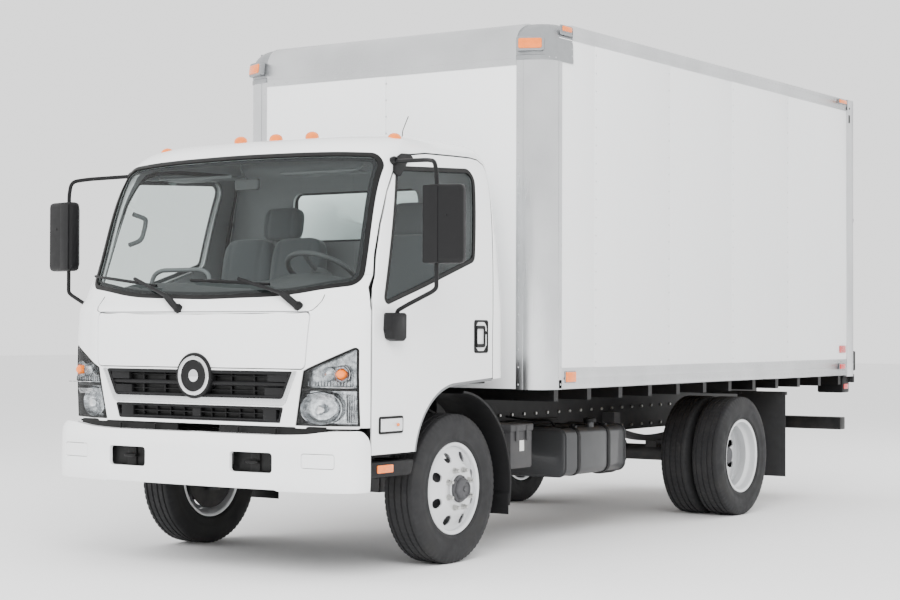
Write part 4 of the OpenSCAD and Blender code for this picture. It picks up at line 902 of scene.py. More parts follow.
class Skin:
    """A smooth surface through rows of points. Places on it are (along a row, up the rows), in mm."""

    def __init__(self, rows, s_row, v_column):
        self.net = np.array(rows, float)
        step = lambda p: np.concatenate([[0], np.cumsum(np.linalg.norm(np.diff(p, axis=0), axis=1))])
        self.s = step(self.net[s_row])
        self.s -= self.s[-1] / 2
        self.v = step(self.net[:, v_column])
        s, v = np.meshgrid(np.linspace(self.s[0], self.s[-1], 260), np.linspace(0, self.v[-1], 110))
        self.near = np.column_stack([s.ravel(), v.ravel()])
        self.near_at = self.point(self.near)

    def point(self, sv):
        sv = np.atleast_2d(sv)
        columns = easy(self.v, np.moveaxis(self.net, 0, -1), np.clip(sv[:, 1], 0, self.v[-1]))
        return easy(self.s, np.transpose(columns, (2, 1, 0)), np.clip(sv[:, 0], self.s[0], self.s[-1]),
                    each=True)

    def at(self, sv, depth=0.0):
        sv = np.atleast_2d(np.asarray(sv, float))
        p = self.point(sv)
        e = 1.5
        lo = np.minimum(sv, (self.s[-1] - e, self.v[-1] - e))
        lo = np.maximum(lo, (self.s[0] + e, e))
        ds = self.point(lo + (e, 0)) - self.point(lo - (e, 0))
        dv = self.point(lo + (0, e)) - self.point(lo - (0, e))
        normal = np.cross(ds, dv)
        normal /= np.maximum(np.linalg.norm(normal, axis=1, keepdims=True), 1e-9)
        return p - normal * np.reshape(depth, (-1, 1))

    def find(self, flat, a, b, where):
        """Places on the surface whose shadow along a and b is flat, starting where where(points) holds."""
        a, b, flat = np.array(a, float), np.array(b, float), np.atleast_2d(flat)
        ok = where(self.near_at)
        start, shade = self.near[ok], np.stack([self.near_at[ok] @ a, self.near_at[ok] @ b], 1)
        sv = np.array([start[((shade - p) ** 2).sum(1).argmin()] for p in flat])
        for _ in range(8):
            p = self.point(sv)
            off = flat - np.stack([p @ a, p @ b], 1)
            ps, pv = self.point(sv + (1, 0)) - p, self.point(sv + (0, 1)) - p
            m = np.stack([np.stack([ps @ a, pv @ a], 1), np.stack([ps @ b, pv @ b], 1)], 1)
            det = m[:, 0, 0] * m[:, 1, 1] - m[:, 0, 1] * m[:, 1, 0]
            det = np.where(abs(det) < 1e-3, 1e-3, det)
            step = np.stack([m[:, 1, 1] * off[:, 0] - m[:, 0, 1] * off[:, 1],
                             m[:, 0, 0] * off[:, 1] - m[:, 1, 0] * off[:, 0]], 1) / det[:, None]
            sv = sv + np.clip(step, -40, 40)
        return sv


def resample(loop, gap):
    """More points along a closed loop, keeping its own."""
    loop, out = np.asarray(loop, float), []
    for p, q in zip(loop, np.roll(loop, -1, 0)):
        n = max(1, math.ceil(np.linalg.norm(q - p) / gap))
        out += [p + (q - p) * k / n for k in range(n)]
    return np.array(out)


def inside(points, loop):
    """Which points lie inside a loop."""
    x, y = points[:, :1], points[:, 1:]
    a, b = loop, np.roll(loop, -1, 0)
    cross = ((a[:, 1] > y) != (b[:, 1] > y)) & (
        x < (b[:, 0] - a[:, 0]) * (y - a[:, 1]) / np.where(b[:, 1] == a[:, 1], 1e-9, b[:, 1] - a[:, 1]) + a[:,
                0])
    return cross.sum(1) % 2 == 1


def turning(loop, left=True):
    """The loop, run counterclockwise if left, else clockwise."""
    loop = np.asarray(loop, float)
    area = (loop[:, 0] * np.roll(loop[:, 1], -1) - np.roll(loop[:, 0], -1) * loop[:, 1]).sum()
    return loop if (area > 0) == left else loop[::-1]


def fill(loops, grid):
    """Triangles between loops of points, on an even grid: (points, faces)."""
    outer = loops[0]
    lo, hi = outer.min(0), outer.max(0)
    gx, gy = np.meshgrid(np.arange(lo[0] + grid / 2, hi[0], grid), np.arange(lo[1] + grid / 2, hi[1], grid))
    inner = np.column_stack([gx.ravel(), gy.ravel()])
    keep = inside(inner, outer)
    for hole in loops[1:]:
        keep &= ~inside(inner, hole)
    inner = inner[keep]
    edge = np.vstack(loops)
    if len(inner):
        far = np.array([((edge - p) ** 2).sum(1).min() for p in inner]) > (0.55 * grid) ** 2
        inner = inner[far]
    edges, count = [], 0
    for loop in loops:
        edges += [(count + i, count + (i + 1) % len(loop)) for i in range(len(loop))]
        count += len(loop)
    centre = outer.mean(0)
    points = [Vector(p - centre) for p in np.vstack([edge, inner])]
    got, _, faces, *_ = delaunay_2d_cdt(points, edges, [], 1, 1e-4)
    got = np.array([tuple(p) for p in got]) + centre
    middle = np.array([got[list(f)].mean(0) for f in faces])
    keep = inside(middle, outer)
    for hole in loops[1:]:
        keep &= ~inside(middle, hole)
    return got, [list(f) for f, k in zip(faces, keep) if k]


def panel(skin, outline, holes=(), thick=18.0, lip=3.5, grid=30.0, gap=14.0, depth=0.0, lining=None,
          hold=None):
    """A pressed panel: its outline and holes are places on the skin. hold(points) marks edges left plain."""
    loops = [turning(resample(outline, gap))] + [turning(resample(h, gap), False) for h in holes]
    shape, tops = Shape(), []
    for loop in loops:
        free = np.ones(len(loop)) if hold is None else 1.0 - hold(loop)
        rings = []
        for by, down in ((0, thick), (0, lip), (0.12, 0.5 * lip), (0.4, 0.13 * lip), (1, 0), (2.4, 0)):
            ring = inset(loop, by * lip * free) if by else loop
            level = depth + (np.full(len(loop), down) if down in (thick, 0) else down * free)
            rings.append(skin.at(ring, level))
        shape.add(closed_rings(rings, caps=False))
        tops.append(inset(loop, 2.4 * lip * free))
    points, faces = fill(tops, grid)
    shape.add((skin.at(points, depth), faces))
    if lining:
        points, faces = fill(loops, grid)
        shape.add((skin.at(points, depth + lining), [f[::-1] for f in faces]))
    return np.vstack(shape.points), shape.faces


CAB_BACK = 430
LEVELS = [
    (-160, -1062, CAB_BACK, 1054, 22, 128, 738, 1014, -887),
          (3, -1068, CAB_BACK, 1057, 22, 128, 742, 1018, -887),
    (300, -1080, CAB_BACK, 1060, 22, 130, 750, 1020, -890),
          (613, -1062, CAB_BACK, 1060, 24, 128, 760, 1018, -885),
    (700, -1003, CAB_BACK, 1055, 34, 112, 730, 988, -828), (1460, -710, 422, 958, 34, 98, 640, 918, -525),
    (1560, -612, 390, 908, 30, 110, 600, 850, -420), (1600, -500, 330, 840, 30, 120, 540, 770, -300),
    (1615, -360, 240, 730, 30, 110, 460, 650, -150),
]
rows = []
for z, front, back, w, s1, s2, w1, w2, side_y in LEVELS:
    half = [(w1 / 2, front + s1 * 0.27), (w1, front + s1), ((w1 + w2) / 2, front + (s1 + s2) / 2 - 10),
            (w2, front + s2), (w - 10, side_y - 24), (w, side_y + 28), (w, (side_y + back) / 2),
            (w, back - 60),
            (w - 17, back - 17), (w - 60, back), (w / 2, back), (0, back)]
    half = [(x, y, z) for x, y in half]
    rows.append([(-x, y, z) for x, y, z in half[::-1]] + [(0, front, z)] + half)
for scale, z in ((0.6, 1621), (0.25, 1624), (0.01, 1625)):
    rows.append([(x * scale, -60 + (y + 60) * scale, z) for x, y, _ in rows[8]])
CAB = Skin(rows, 2, 12)
TO_FRONT = ((1, 0, 0), (0, 0, 1))
TO_SIDE = ((0, 1, 0), (0, 0, 1))
RAKE = math.radians(20.9)
UP_GLASS = np.array([0, math.sin(RAKE), math.cos(RAKE)])
ON_GLASS = ((1, 0, 0), UP_GLASS)


def from_front(outline, gap=14):
    return CAB.find(resample(outline, gap), *TO_FRONT, lambda p: (p[:, 1] < -880) & (p[:, 2] < 1000))


def from_side(outline, gap=14):
    return CAB.find(resample(outline, gap), *TO_SIDE, lambda p: (p[:, 0] > 820) & (p[:, 1] > -960))


def from_glass(outline, gap=14):
    flat = resample(outline, gap) + (0, np.array([0, -1000, 700]) @ UP_GLASS)
    return CAB.find(flat, *ON_GLASS, lambda p: (p[:, 1] < -480) & (p[:, 2] > 600) & (p[:, 2] < 1560))


def flipped(loop):
    return np.asarray(loop) * (-1, 1)


CAB_WHITE = finish("cab_white", (0.87, 0.88, 0.885), 0.22, coat=0.7, look=lambda p, z: {
    "Roughness": p.noise(2, 4).part(0.4, 0.8) * 0.06 + 0.2,
    "Base Color": ((1 - z.part(0.55, 1.3)) * p.noise(3, 5).part(0.4, 0.85) * 0.10).blend(
        (0.87, 0.88, 0.885, 1), (0.5, 0.48, 0.45, 1)),
    "bump": (0.02, 0.0005, p.noise(260, 2))})
TRIM = finish("grey_trim", (0.17, 0.175, 0.18), 0.6,
              look=lambda p, z: {"bump": (0.1, 0.0006, p.noise(500, 2)),
                                 "Roughness": p.noise(9).part(0.3, 0.7) * 0.1 + 0.55})
SEAL = finish("black_seal", (0.005, 0.005, 0.005), 0.4, **{"Specular IOR Level": 0.25},
              look=lambda p, z: {"Roughness": p.noise(40).part(0.3, 0.7) * 0.15 + 0.4})


def windscreen(grow):
    g = grow
    half = [(0, -14 - g), (560, 10 - g), (978 + g, 106 - g), (936 + g, 862 + g)]
    return rounded([*half, (-half[3][0], half[3][1]), (-half[2][0], half[2][1]), (-560, 10 - g)],
                   [2600, 1700, 90, 95, 95, 90, 1700], 8)


lid_out = rounded([(765, 613), (745, 312), (-745, 312), (-765, 613)], 30)
lid_hole = rounded([(772, 619), (751, 307), (-751, 307), (-772, 619)], 33)
upper = rounded([(676, 299), (592, 124), (-592, 124), (-676, 299)], 12)
lower = rounded([(606, 106), (581, 22), (-581, 22), (-606, 106)], 8)
lamp = rounded([(680, 6), (1024, 6), (1024, 436), (738, 302)], [10, 12, 18, 12])
screen_cut = from_glass(windscreen(6))
half_cut = screen_cut[screen_cut[:, 0] > 0]
DOOR_EDGE = [(-886, -150), (-886, 560), (-885, 620), (-876, 680), (-855, 745), (-821, 811), (-788, 926),
             (-731, 1094),
             (-652, 1270), (-557, 1407), (-495, 1459), (-418, 1487), (-224, 1511), (63, 1519), (240, 1522),
             (312, 1515),
             (360, 1488), (384, 1440), (386, 1370), (368, 1195), (333, 866), (308, 640), (304, 500),
             (304, 236)]
belt = from_side([DOOR_EDGE[5]])[0]
seam = from_side([(-886, 3), *DOOR_EDGE[1:6]], 1e9)
below = screen_cut[screen_cut[:, 1] < belt[1] - 2]
below = below[np.argsort(below[:, 0])]
bottom = from_front([(-700, 3), (0, 3), (700, 3), (0, 3.001)], 60)
bottom = bottom[np.argsort(bottom[:, 0])]
front_line = np.vstack([bottom[::2], seam, [(below[-1, 0], belt[1])], below[::-1], [(below[0, 0], belt[1])],
                        flipped(seam)[::-1]])
openings = [from_front(o) for o in (lid_hole, upper, lower, lamp)]
front = Shape().add(panel(CAB, front_line, [*openings, flipped(openings[3])], thick=26))
front.piece("front_panel", CAB_WHITE, "cab", closed=False, replaces=["cab_front"], slot="cab_paint")

# ---- Cab body, doors and lid: the welded body with its pillars, roof and back wall, doors
# hung at their front edges, and the lid over the front service points, hinged at its top.
WINDOW = rounded([(-785, 640), (-382, 754), (142, 912), (248, 1452), (-548, 1412)], [36, 400, 60, 75, 90], 10)
BACK_WINDOW = oval((-475, 1062), (475, 1370), 55)
TOP_V, END_S = CAB.v[-1], CAB.s[-1]


def at_back(outline, gap=14):
    return CAB.find(resample(outline, gap), *TO_FRONT,
                    lambda p: (p[:, 1] > 300) & (p[:, 2] > 500) & (p[:, 2] < 1560)) % (2 * END_S, 1e9)


opening = from_side(DOOR_EDGE[5:], 1e9)[:len(DOOR_EDGE) - 5]
back_low = from_side([(429, 243)])[0]
upper_cut = half_cut[half_cut[:, 1] > belt[1] - 2]
half_line = np.vstack([[(0.0, upper_cut[-1, 1])], upper_cut[::-1], opening, [back_low, (END_S, back_low[1]),
                       (END_S, TOP_V), (0, TOP_V)]])


def seams_only(points):
    """Where the two halves of the body meet, and at the middle of the roof: no pressed edge."""
    return ((points[:, 1] > TOP_V - 2) | (abs(points[:, 0]) > END_S - 2) | (abs(points[:,
            0]) < 2)).astype(float)


back_hole = at_back(BACK_WINDOW)
half_hole = back_hole[back_hole[:, 0] <= END_S]
low_s, high = half_hole[:, 0].min(), (half_hole[:, 1].min(), half_hole[:, 1].max())
corner = rounded([(END_S + 200, high[0]), (low_s, high[0]), (low_s, high[1]), (END_S + 200, high[1])],
                 [0, 60, 60, 0])
corner = corner[corner[:, 0] < END_S]
half_line = np.vstack([half_line[:-3], [(END_S, back_low[1]), (END_S, high[0])],
                       corner[::1] if corner[0, 1] < corner[-1, 1]
                       else corner[::-1], [(END_S, high[1]), (END_S, TOP_V), (0, TOP_V)]])
body = Shape().both(panel(CAB, half_line, thick=48, lining=48, hold=seams_only))
body.piece("cab_body", CAB_WHITE, "cab", closed=False, replaces=["cab_frame"], slot="cab_paint")
lining = Shape()
points, faces = panel(CAB, half_line, thick=2, lip=0.5, depth=49, hold=seams_only)
lining.both((points, [f[::-1] for f in faces]))
lining.piece("cab_lining", TRIM, "cab", closed=False)


def door_outline(by):
    """The door's edge in side view, drawn in from the seam."""
    arch = [(-60 + 415 * math.cos(math.radians(a)), -200 + 415 * math.sin(math.radians(a))) for a in range(90,
            174, 6)]
    arch = [(304, 236)] + [p for p in arch if p[1] > -146] + [(-472, -150)]
    line = inset(turning(np.vstack([DOOR_EDGE[:-1], arch])), by)
    front = np.interp(line[:, 1], *np.transpose(DOOR_EDGE[:6])[::-1]) + 1.5 * by
    return np.column_stack([np.where(line[:, 1] < 760, np.maximum(line[:, 0], front), line[:, 0]),
                            line[:, 1]])


door_places = from_side(door_outline(8))
window_places = from_side(WINDOW)
screen_frame = from_glass(windscreen(-2))
for side, right in (("left", False), ("right", True)):
    node = side + "_door"
    door = Shape().add(panel(CAB, door_places, [window_places], thick=30, lip=4))
    door.piece(node + "_panel", CAB_WHITE, node, right, closed=False, replaces=[node], slot="cab_paint")
    inner = Shape()
    points, faces = panel(CAB, from_side(door_outline(17)), [from_side(inset(turning(WINDOW), -10))], thick=2,
                          lip=0.5, depth=30)
    inner.add((points, [f[::-1] for f in faces]))
    rest = CAB.at(from_side([(-420, 480), (-60, 560), (60, 560), (150, 540)], 1e9), 66)
    inner.add(tube(rest[:3], 26, 60, 14))
    inner.piece(node + "_trim", TRIM, node, right, closed=False)
    seal = Shape()
    ring = from_side(inset(turning(WINDOW), 24))
    seal.add(panel(CAB, from_side(inset(turning(WINDOW), -1)), [ring], thick=12, lip=1.5, depth=1.0, grid=60))
    seal.piece(node + "_window_seal", SEAL, node, right, closed=False)
lid = Shape().add(panel(CAB, from_front(lid_out), thick=26, lip=4))
lid.piece("front_lid_panel", CAB_WHITE, "front_lid", closed=False, replaces=["front_lid"], slot="cab_paint")
seals = Shape()
seals.both(tube(CAB.at(from_side(door_outline(22), 30), 42), 8, 20, 8))
seals.piece("door_seals", SEAL, "cab")
# Black liners behind the door and lid gaps: painted shade that darkens the gaps where the jambs would only be
# in shade, and keeps light from leaking through them.
gap_shades = Shape()
gap_shades.both(panel(CAB, from_side(door_outline(-6)), [from_side(door_outline(30))], thick=3, lip=0.5, depth=46,
                 grid=60))
gap_shades.both(panel(CAB, from_side(door_outline(0.2)), [from_side(door_outline(2.0))], thick=30, lip=0.5,
                 depth=2.5, grid=60))
gap_shades.add(panel(CAB, from_front(inset(turning(lid_hole), -3)), [from_front(inset(turning(lid_hole), 22))],
                thick=3,
                lip=0.5, depth=36, grid=60))
gap_shades.piece("gap_shade_liners", SEAL, "cab", closed=False)

# ---- Glass: a bonded curved windscreen, drop glass in the doors and a fixed back window,
# all lightly green, with a black rubber frame round the windscreen.


def glass(name, tint, gloss=0.02):
    """Tinted see-through sheet with a clear reflection that grows at shallow angles."""
    material = bpy.data.materials.new(name)
    material.use_nodes = True
    tree = material.node_tree
    tree.nodes.remove(tree.nodes["Principled BSDF"])
    start = Value(tree, tree.nodes.new("ShaderNodeLayerWeight").outputs["Fresnel"])
    start.socket.node.inputs["Blend"].default_value = 0.35
    through = start.made("BsdfTransparent", {"Color": (*tint, 1)})
    mirror = start.made("BsdfGlossy", {"Color": (1, 1, 1, 1), "Roughness": gloss})
    both = start.made("MixShader", {0: start * 0.3 + 0.01, 1: through, 2: mirror})
    tree.links.new(both.socket, tree.nodes["Material Output"].inputs["Surface"])
    return material


GLASS = glass("tinted_glass", (0.88, 0.93, 0.92))
sheet = Shape()
points, faces = fill([turning(resample(screen_frame, 14))], 40)
sheet.add((CAB.at(points, 9), faces))
sheet.piece("windscreen_glass", GLASS, "cab", closed=False, replaces=["cab_glass"], slot="glass")
frame_ring = Shape()
frame_ring.add(panel(CAB, from_glass(windscreen(7)), [from_glass(inset(turning(windscreen(7)), 27))],
                     thick=12, lip=2.5,
                     depth=-1.5, grid=60, gap=12))
frame_ring.piece("windscreen_rubber", SEAL, "cab", closed=False)
border = Shape().add(panel(CAB, from_glass(inset(turning(windscreen(7)), 26)),
                           [from_glass(inset(turning(windscreen(7)), 52))], thick=2, lip=0.5, depth=14,
                           grid=60))
DARK_BAND = finish("glass_edge_band", (0.012, 0.013, 0.014), 0.6, **{"Specular IOR Level": 0.1},
                   look=lambda p, z: {"Roughness": p.noise(30).part(0.3, 0.7) * 0.1 + 0.55})
border.piece("windscreen_border", DARK_BAND, "cab", closed=False)
for side, right in (("left", False), ("right", True)):
    node = side + "_door"
    points, faces = fill([turning(from_side(inset(turning(WINDOW), 6)))], 60)
    Shape().add((CAB.at(points, 13), faces)).piece(node + "_window", GLASS, node, right, closed=False,
                                                   replaces=[node + "_glass"], slot="glass")
back_pane = Shape().add(block((-470, 404, 1067), (470, 408, 1365), 1, "y"))
back_pane.piece("back_window", GLASS, "cab", slot="glass")
back_seal = Shape()
loop = np.array([(x, 408, z) for x, z in oval((-475, 1062), (475, 1370), 55, 8)])
back_seal.add(tube(np.vstack([loop, loop[:2]]), 13, 1, 8))
back_seal.piece("back_window_seal", SEAL, "cab")

# ---- Front bumper: one bowed white moulding over a steel cross tube, with two tow openings,
# two blanking covers and turned-in ends, bolted to the frame.
F = -1147
BUMPER_PLAN = [(0, F), (150, F + 1), (300, F + 4), (550, F + 15), (760, F + 30), (900, F + 44), (985, F + 62),
               (1040, F + 92), (1072, F + 135), (1085, F + 180), (1087, -925)]
bumper_rows = []
for z, by in ((-346, 30), (-341, 14), (-326, 5), (-240, 0), (-104, 0), (-56, 6), (-26, 14), (-14, 24),
              (-10, 44), (-10, 90)):
    plan = [(x - by * min(1, max(0, (x - 800) / 260)),
             y + by * (1 if x < 1000 else max(0.0, (1087 - x) / 87)),
             z - 28 * (z > -60) * (1 - easy(np.array([0, 640, 1000, 1100.0]), np.array([0, 0, 1, 1.0]), x)))
            for x, y in BUMPER_PLAN]
    bumper_rows.append([(-x, y, h) for x, y, h in plan[:0:-1]] + plan)
BUMPER = Skin(bumper_rows, 3, 10)


def on_bumper(outline, gap=14):
    return BUMPER.find(resample(outline, gap), *TO_FRONT, lambda p: p[:, 1] < -1000)


low_edge = BUMPER.find([(0, -330), (596, -330), (622, -338), (980, -334)], *TO_FRONT,
                       lambda p: p[:, 1] < -1000)
end_s, end_v = BUMPER.s[-1], BUMPER.v[-1]
half_low = np.vstack([low_edge, [(end_s, low_edge[-1, 1] + 2)]])
edge_top = rounded([(end_s, low_edge[-1, 1]), (end_s, end_v - 120), (end_s - 90, end_v), (0, end_v)],
                   [0, 60, 60, 0])[1:-1]
line = np.vstack([half_low, edge_top, flipped(edge_top)[::-1], flipped(half_low[1:])[::-1]])
tow = oval((306, -240), (586, -134), 20)
cover = oval((770, -208), (970, -130), 16)
holes = [on_bumper(tow), on_bumper(cover)]
bumper = Shape().add(panel(BUMPER, line, [*holes, *[flipped(h) for h in holes]], thick=22, lip=4, grid=40))
bumper.both(panel(BUMPER, on_bumper(inset(turning(cover), 2.5)), thick=8, lip=2.5, depth=2))
bumper.piece("bumper_moulding", CAB_WHITE, "chassis", closed=False, replaces=["front_bumper"],
             slot="cab_paint")
wells = Shape()
for s in (-1, 1):
    wells.add(block((s * 446 - 158, -1088, -256), (s * 446 + 158, -1080, -116), 3, "y"))
    wells.add(block((s * 446 - 30, -1100, -250), (s * 446 + 36, -1080, -120), 6, "y"))
    wells.add(tube([(s * 440 - 34, -1098, -186), (s * 440 - 34, -1120, -186), (s * 440 + 34, -1120, -186),
                    (s * 440 + 34, -1098, -186)], 9, 18))
valance = prism(rounded([(-1062, -130), (-1044, 8), (-1034, 8), (-1034, -130)], 3), "x", 150, 880, 3)
wells.both(valance)
for x in (300, 560):
    wells.both(block((x - 5, -1072, -120), (x + 5, -1060, -6), 2))
wells.piece("bumper_wells", SEAL, "chassis")
beam = Shape()
beam.add(prism(oval((-1060, -262), (-1000, -208), 8), "x", -900, 900, 3))
for s in (-1, 1):
    beam.add(block((s * 341 - 25, -1040, -262), (s * 341 + 25, -640, -202), 3, "y"))
    beam.add(block((s * 990 - 8, -1030, -250), (s * 990 + 8, -930, -60), 3, "y"))
beam.piece("bumper_beam", CHASSIS, "chassis")

# ---- Grille, badge and cab front trim: black moulded slats in two openings, a bright strip
# along the foot of the upper one, and a plain round badge with a bright rim.
BRIGHT = finish("bright_chrome", (0.78, 0.79, 0.80), 0.12, metal=1.0,
                look=lambda p, z: {"Roughness": p.noise(30).part(0.3, 0.7) * 0.06 + 0.1})
SATIN = finish("satin_silver", (0.62, 0.63, 0.64), 0.28, metal=0.85, coat=0.3,
               look=lambda p, z: {"Roughness": p.noise(30).part(0.3, 0.7) * 0.08 + 0.24})
grilles = Shape()
ring_out, ring_in = inset(turning(upper), 1), inset(turning(upper), 20)
grilles.add(panel(CAB, from_front(ring_out), [from_front(ring_in)], thick=46, lip=5, depth=-1.5, grid=60))


def bar(z, y, half, h, deep, droop=0.0):
    """One slat: rounded nose, thin tail, following the bow of the panel."""
    nose = rounded([(0, -h / 2), (deep, -h * 0.16), (deep, h * 0.3), (0, h / 2)], [h * 0.4, 1, 1, h * 0.4], 4)
    xs = np.linspace(-half, half, 25)
    rings = [np.array([(x, y + 22 * (abs(x) / 750) ** 2.2 + a, z + droop * (x / half) ** 2 + b) for a,
                       b in nose]) for x in xs]
    return closed_rings(rings)


for z, half, h in ((226, 630, 34), (160, 600, 18)):
    grilles.add(bar(z, -1076, half, h, 34))
for z in (268, 190):
    grilles.add(bar(z, -1056, 610, 6, 30))
for s in (-1, 1):
    for z, a, b in ((262, 500, 636), (188, 480, 606)):
        grilles.add(block((s * a, -1064, z - 22), (s * b, -1030, z + 22), 4, "y"))
for x in range(-560, 561, 160):
    grilles.add(block((x - 4, -1052, 140), (x + 4, -1036, 285), 1))
grilles.add(panel(CAB, from_front(inset(turning(lower), 1)), [from_front(inset(turning(lower), 14))],
                  thick=34, lip=4,
                  depth=-1, grid=60))
grilles.add(bar(68, -1060, 580, 6, 30)).add(bar(36, -1070, 578, 12, 30))
for a, b in ((-30, 30), (-560, -470), (470, 560)):
    grilles.add(block((a, -1062, 26), (b, -1030, 98), 4, "y"))
for x in range(-400, 401, 100):
    grilles.add(block((x - 3, -1050, 26), (x + 3, -1036, 98), 1))
grilles.piece("grille_slats", PLASTIC, "cab", replaces=["grille"], slot="black_plastic")
backing = Shape().add(block((-690, -1034, 15), (690, -1030, 300), 1, "y"))
backing.piece("grille_backing", SEAL, "cab")
strip = Shape()
channel = rounded([(-702, 300), (-618, 113), (618, 113), (702, 300), (672, 300), (604, 152), (-604, 152),
                   (-672, 300)],
                  [3, 44, 44, 3, 3, 30, 30, 3], 6)
strip.add(panel(CAB, from_front(turning(channel), 12), thick=10, lip=7, depth=-6, grid=24, gap=12))
strip.piece("grille_bright_strip", SATIN, "cab")
disc = Shape().add(lathe([(126, -20), (126, 22), (122, 28), (112, 30), (110, 24), (60, 25), (0, 26)],
                         (0, -1062, 266),
                         (0, -1, 0), 64, caps=True))
disc.piece("badge_base", PLASTIC, "cab")
badge = Shape().add(lathe([(110, 20), (110, 29), (106, 34), (94, 35), (88, 31), (87, 20)], (0, -1062, 266),
                          (0, -1, 0), 64))
badge.add(lathe([(34, 20), (34, 29), (30, 32), (0, 33)], (0, -1062, 266), (0, -1, 0), 48))
badge.piece("badge_rim", BRIGHT, "cab", closed=False)
cowl = Shape()
path = from_front([(0, 603), (400, 605), (690, 608), (745, 612), (780, 624), (796, 645), (802, 672),
                   (800, 706), (0, 706)],
                  1e9)[:8]
cowl.both(tube(CAB.at(path, 0.6), 2.2, 1, 8))
cowl.piece("cowl_seam", SEAL, "cab")

# ---- Headlamps: clear lenses in thin black bezels over a chrome bowl with a bulb cap, a
# turn lamp barrel with an amber bulb above, and ribbed reflectors towards the sides.
LENS = glass("lamp_lens", (0.93, 0.95, 0.96), 0.01)
lens_line = from_front(inset(turning(lamp), 9))
sheet = Shape().both((lambda pf: (CAB.at(pf[0], 2.5), pf[1]))(fill([turning(lens_line)], 40)))
sheet.piece("headlamp_lenses", LENS, "cab", closed=False, slot="lamp_lens")
bezels = Shape().both(panel(CAB, from_front(inset(turning(lamp), 2.5)),
                            [from_front(inset(turning(lamp), 11))],
                            thick=58, lip=2, depth=0.5, grid=60))
bezels.both(panel(CAB, from_front(oval((700, 196), (1014, 210), 3)), thick=40, lip=2, depth=4, grid=60))
bezels.piece("headlamp_bezels", SEAL, "cab", closed=False)
back = Shape()
points, faces = fill([turning(from_front(inset(turning(lamp), 4)))], 30)
places = CAB.at(points, 56)
back.both((places, faces))
SILVERED = finish("silvered_reflector", (0.6, 0.61, 0.62), 0.16, metal=1.0, look=lambda p, z: {
    "bump": (0.35, 0.004, p.noise(60, 2, (1, 1, 0.3))), "Base Color": p.noise(40, 3).part(0.35, 0.65).blend(
        (0.32, 0.33, 0.34, 1), (0.75, 0.76, 0.77, 1))})
back.piece("headlamp_back", SILVERED, "cab", closed=False)
bowl = Shape()
points, faces = lathe([(104, 0), (99, 3), (90, -22), (72, -42), (48, -54), (20, -58), (0, -58)], (0, 0, 0),
                      (0, -1, 0), 48)
points = points * (1.16, 1, 0.86)
a = math.radians(16)
points = points @ np.array([[math.cos(a), math.sin(a), 0], [-math.sin(a), math.cos(a), 0], [0, 0, 1]]) + (822,
        -1012, 104)
bowl.both((points, faces))
for k in range(9):
    x = 935 + k * 8
    y = -1018 + 0.0032 * (x - 760) ** 2 * 0.62 + 8
    bowl.both(lathe([(4.2, 0), (4.2, 150)], (x, y + 14, 28), (0, 0, 1), 8, caps=True))
for k in range(6):
    bowl.both(block((722 + k * 2, -1038 + 3 * k, 176 - k * 5), (925, -1030 + 3 * k, 179 - k * 5), 1, "x"))
for x, y, r in ((872, -1010, 40), (944, -990, 48)):
    bowl.both(lathe([(r, 0), (r - 2, 3), (r * 0.86, -10), (r * 0.62, -22), (r * 0.3, -29), (0, -30)],
                    (x, y, 285), (0.2, -1, 0), 36))
bowl.both(block((745, -1030, 214), (1010, -960, 219), 1.5, "x"))
for k in range(14):
    bowl.both(block((752 + 18 * k, -1034 + 3.6 * k, 222), (756 + 18 * k, -1026 + 3.6 * k, 246), 1))
bowl.piece("headlamp_bowls", SILVERED, "cab")
caps = Shape().both(lathe([(26, 0), (26, 14), (21, 22), (0, 24)], (822, -1008, 96), (-0.25, -1, 0), 28,
                          caps=True))
caps.piece("bulb_caps", BRIGHT, "cab")
amber_bulbs = Shape().both(lathe([(25, -14), (26, 6), (22, 20), (12, 28), (0, 30)], (944, -996, 285),
                                 (0.2, -1, 0), 28))
amber_bulbs.piece("turn_lamp_ambers", AMBER, "cab", closed=False, replaces=["cab_lamps"], slot="amber_lens")

# ---- Side lamps, roof lamps and aerial: a clear turn lamp in each door, amber step lamps,
# five amber roof lamps on black bases and a short aerial.
side_bezel, side_lens, glow = Shape(), Shape(), Shape()
side_lamp = oval((-819, -34), (-599, 60), 14)
side_bezel.add(panel(CAB, from_side(side_lamp), thick=6, lip=3, depth=-7, grid=40))
side_lens.add(panel(CAB, from_side(inset(turning(side_lamp), 13)), thick=7, lip=4, depth=-12, grid=40))
side_look = finish("frosted_lens", (0.75, 0.76, 0.77), 0.15, coat=1.0, look=lambda p, z: {
    "bump": (0.5, 0.0015, (p.made("SeparateXYZ", {0: p}, out=1) * 700).maths("SINE"))})
for side, right in (("left", False), ("right", True)):
    for shape, look, name in ((side_bezel, SEAL, "_lamp_bezel"), (side_lens, side_look, "_lamp_lens")):
        copy = Shape()
        copy.points, copy.faces, copy.count = shape.points, shape.faces, shape.count
        copy.piece(side + "_door" + name, look, side + "_door", right, closed=False)
dots = Shape()
dots.add(lathe([(9, 0), (9, 8), (5, 12), (0, 13)],
               CAB.at(from_side([(-672, 14), (-700, 0), (-690, 30)], 1e9)[:1], -20)[0],
               (0.98, -0.1, 0), 16))
for side, right in (("left", False), ("right", True)):
    copy = Shape()
    copy.points, copy.faces, copy.count = dots.points, dots.faces, dots.count
    copy.piece(side + "_door_lamp_bulb", AMBER, side + "_door", right)
step_lamps = Shape().both(prism(oval((-832, -240), (-689, -197), 8), "x", 1056, 1064, 3))
step_lamps.piece("step_lamps", AMBER, "chassis")
bases = Shape()
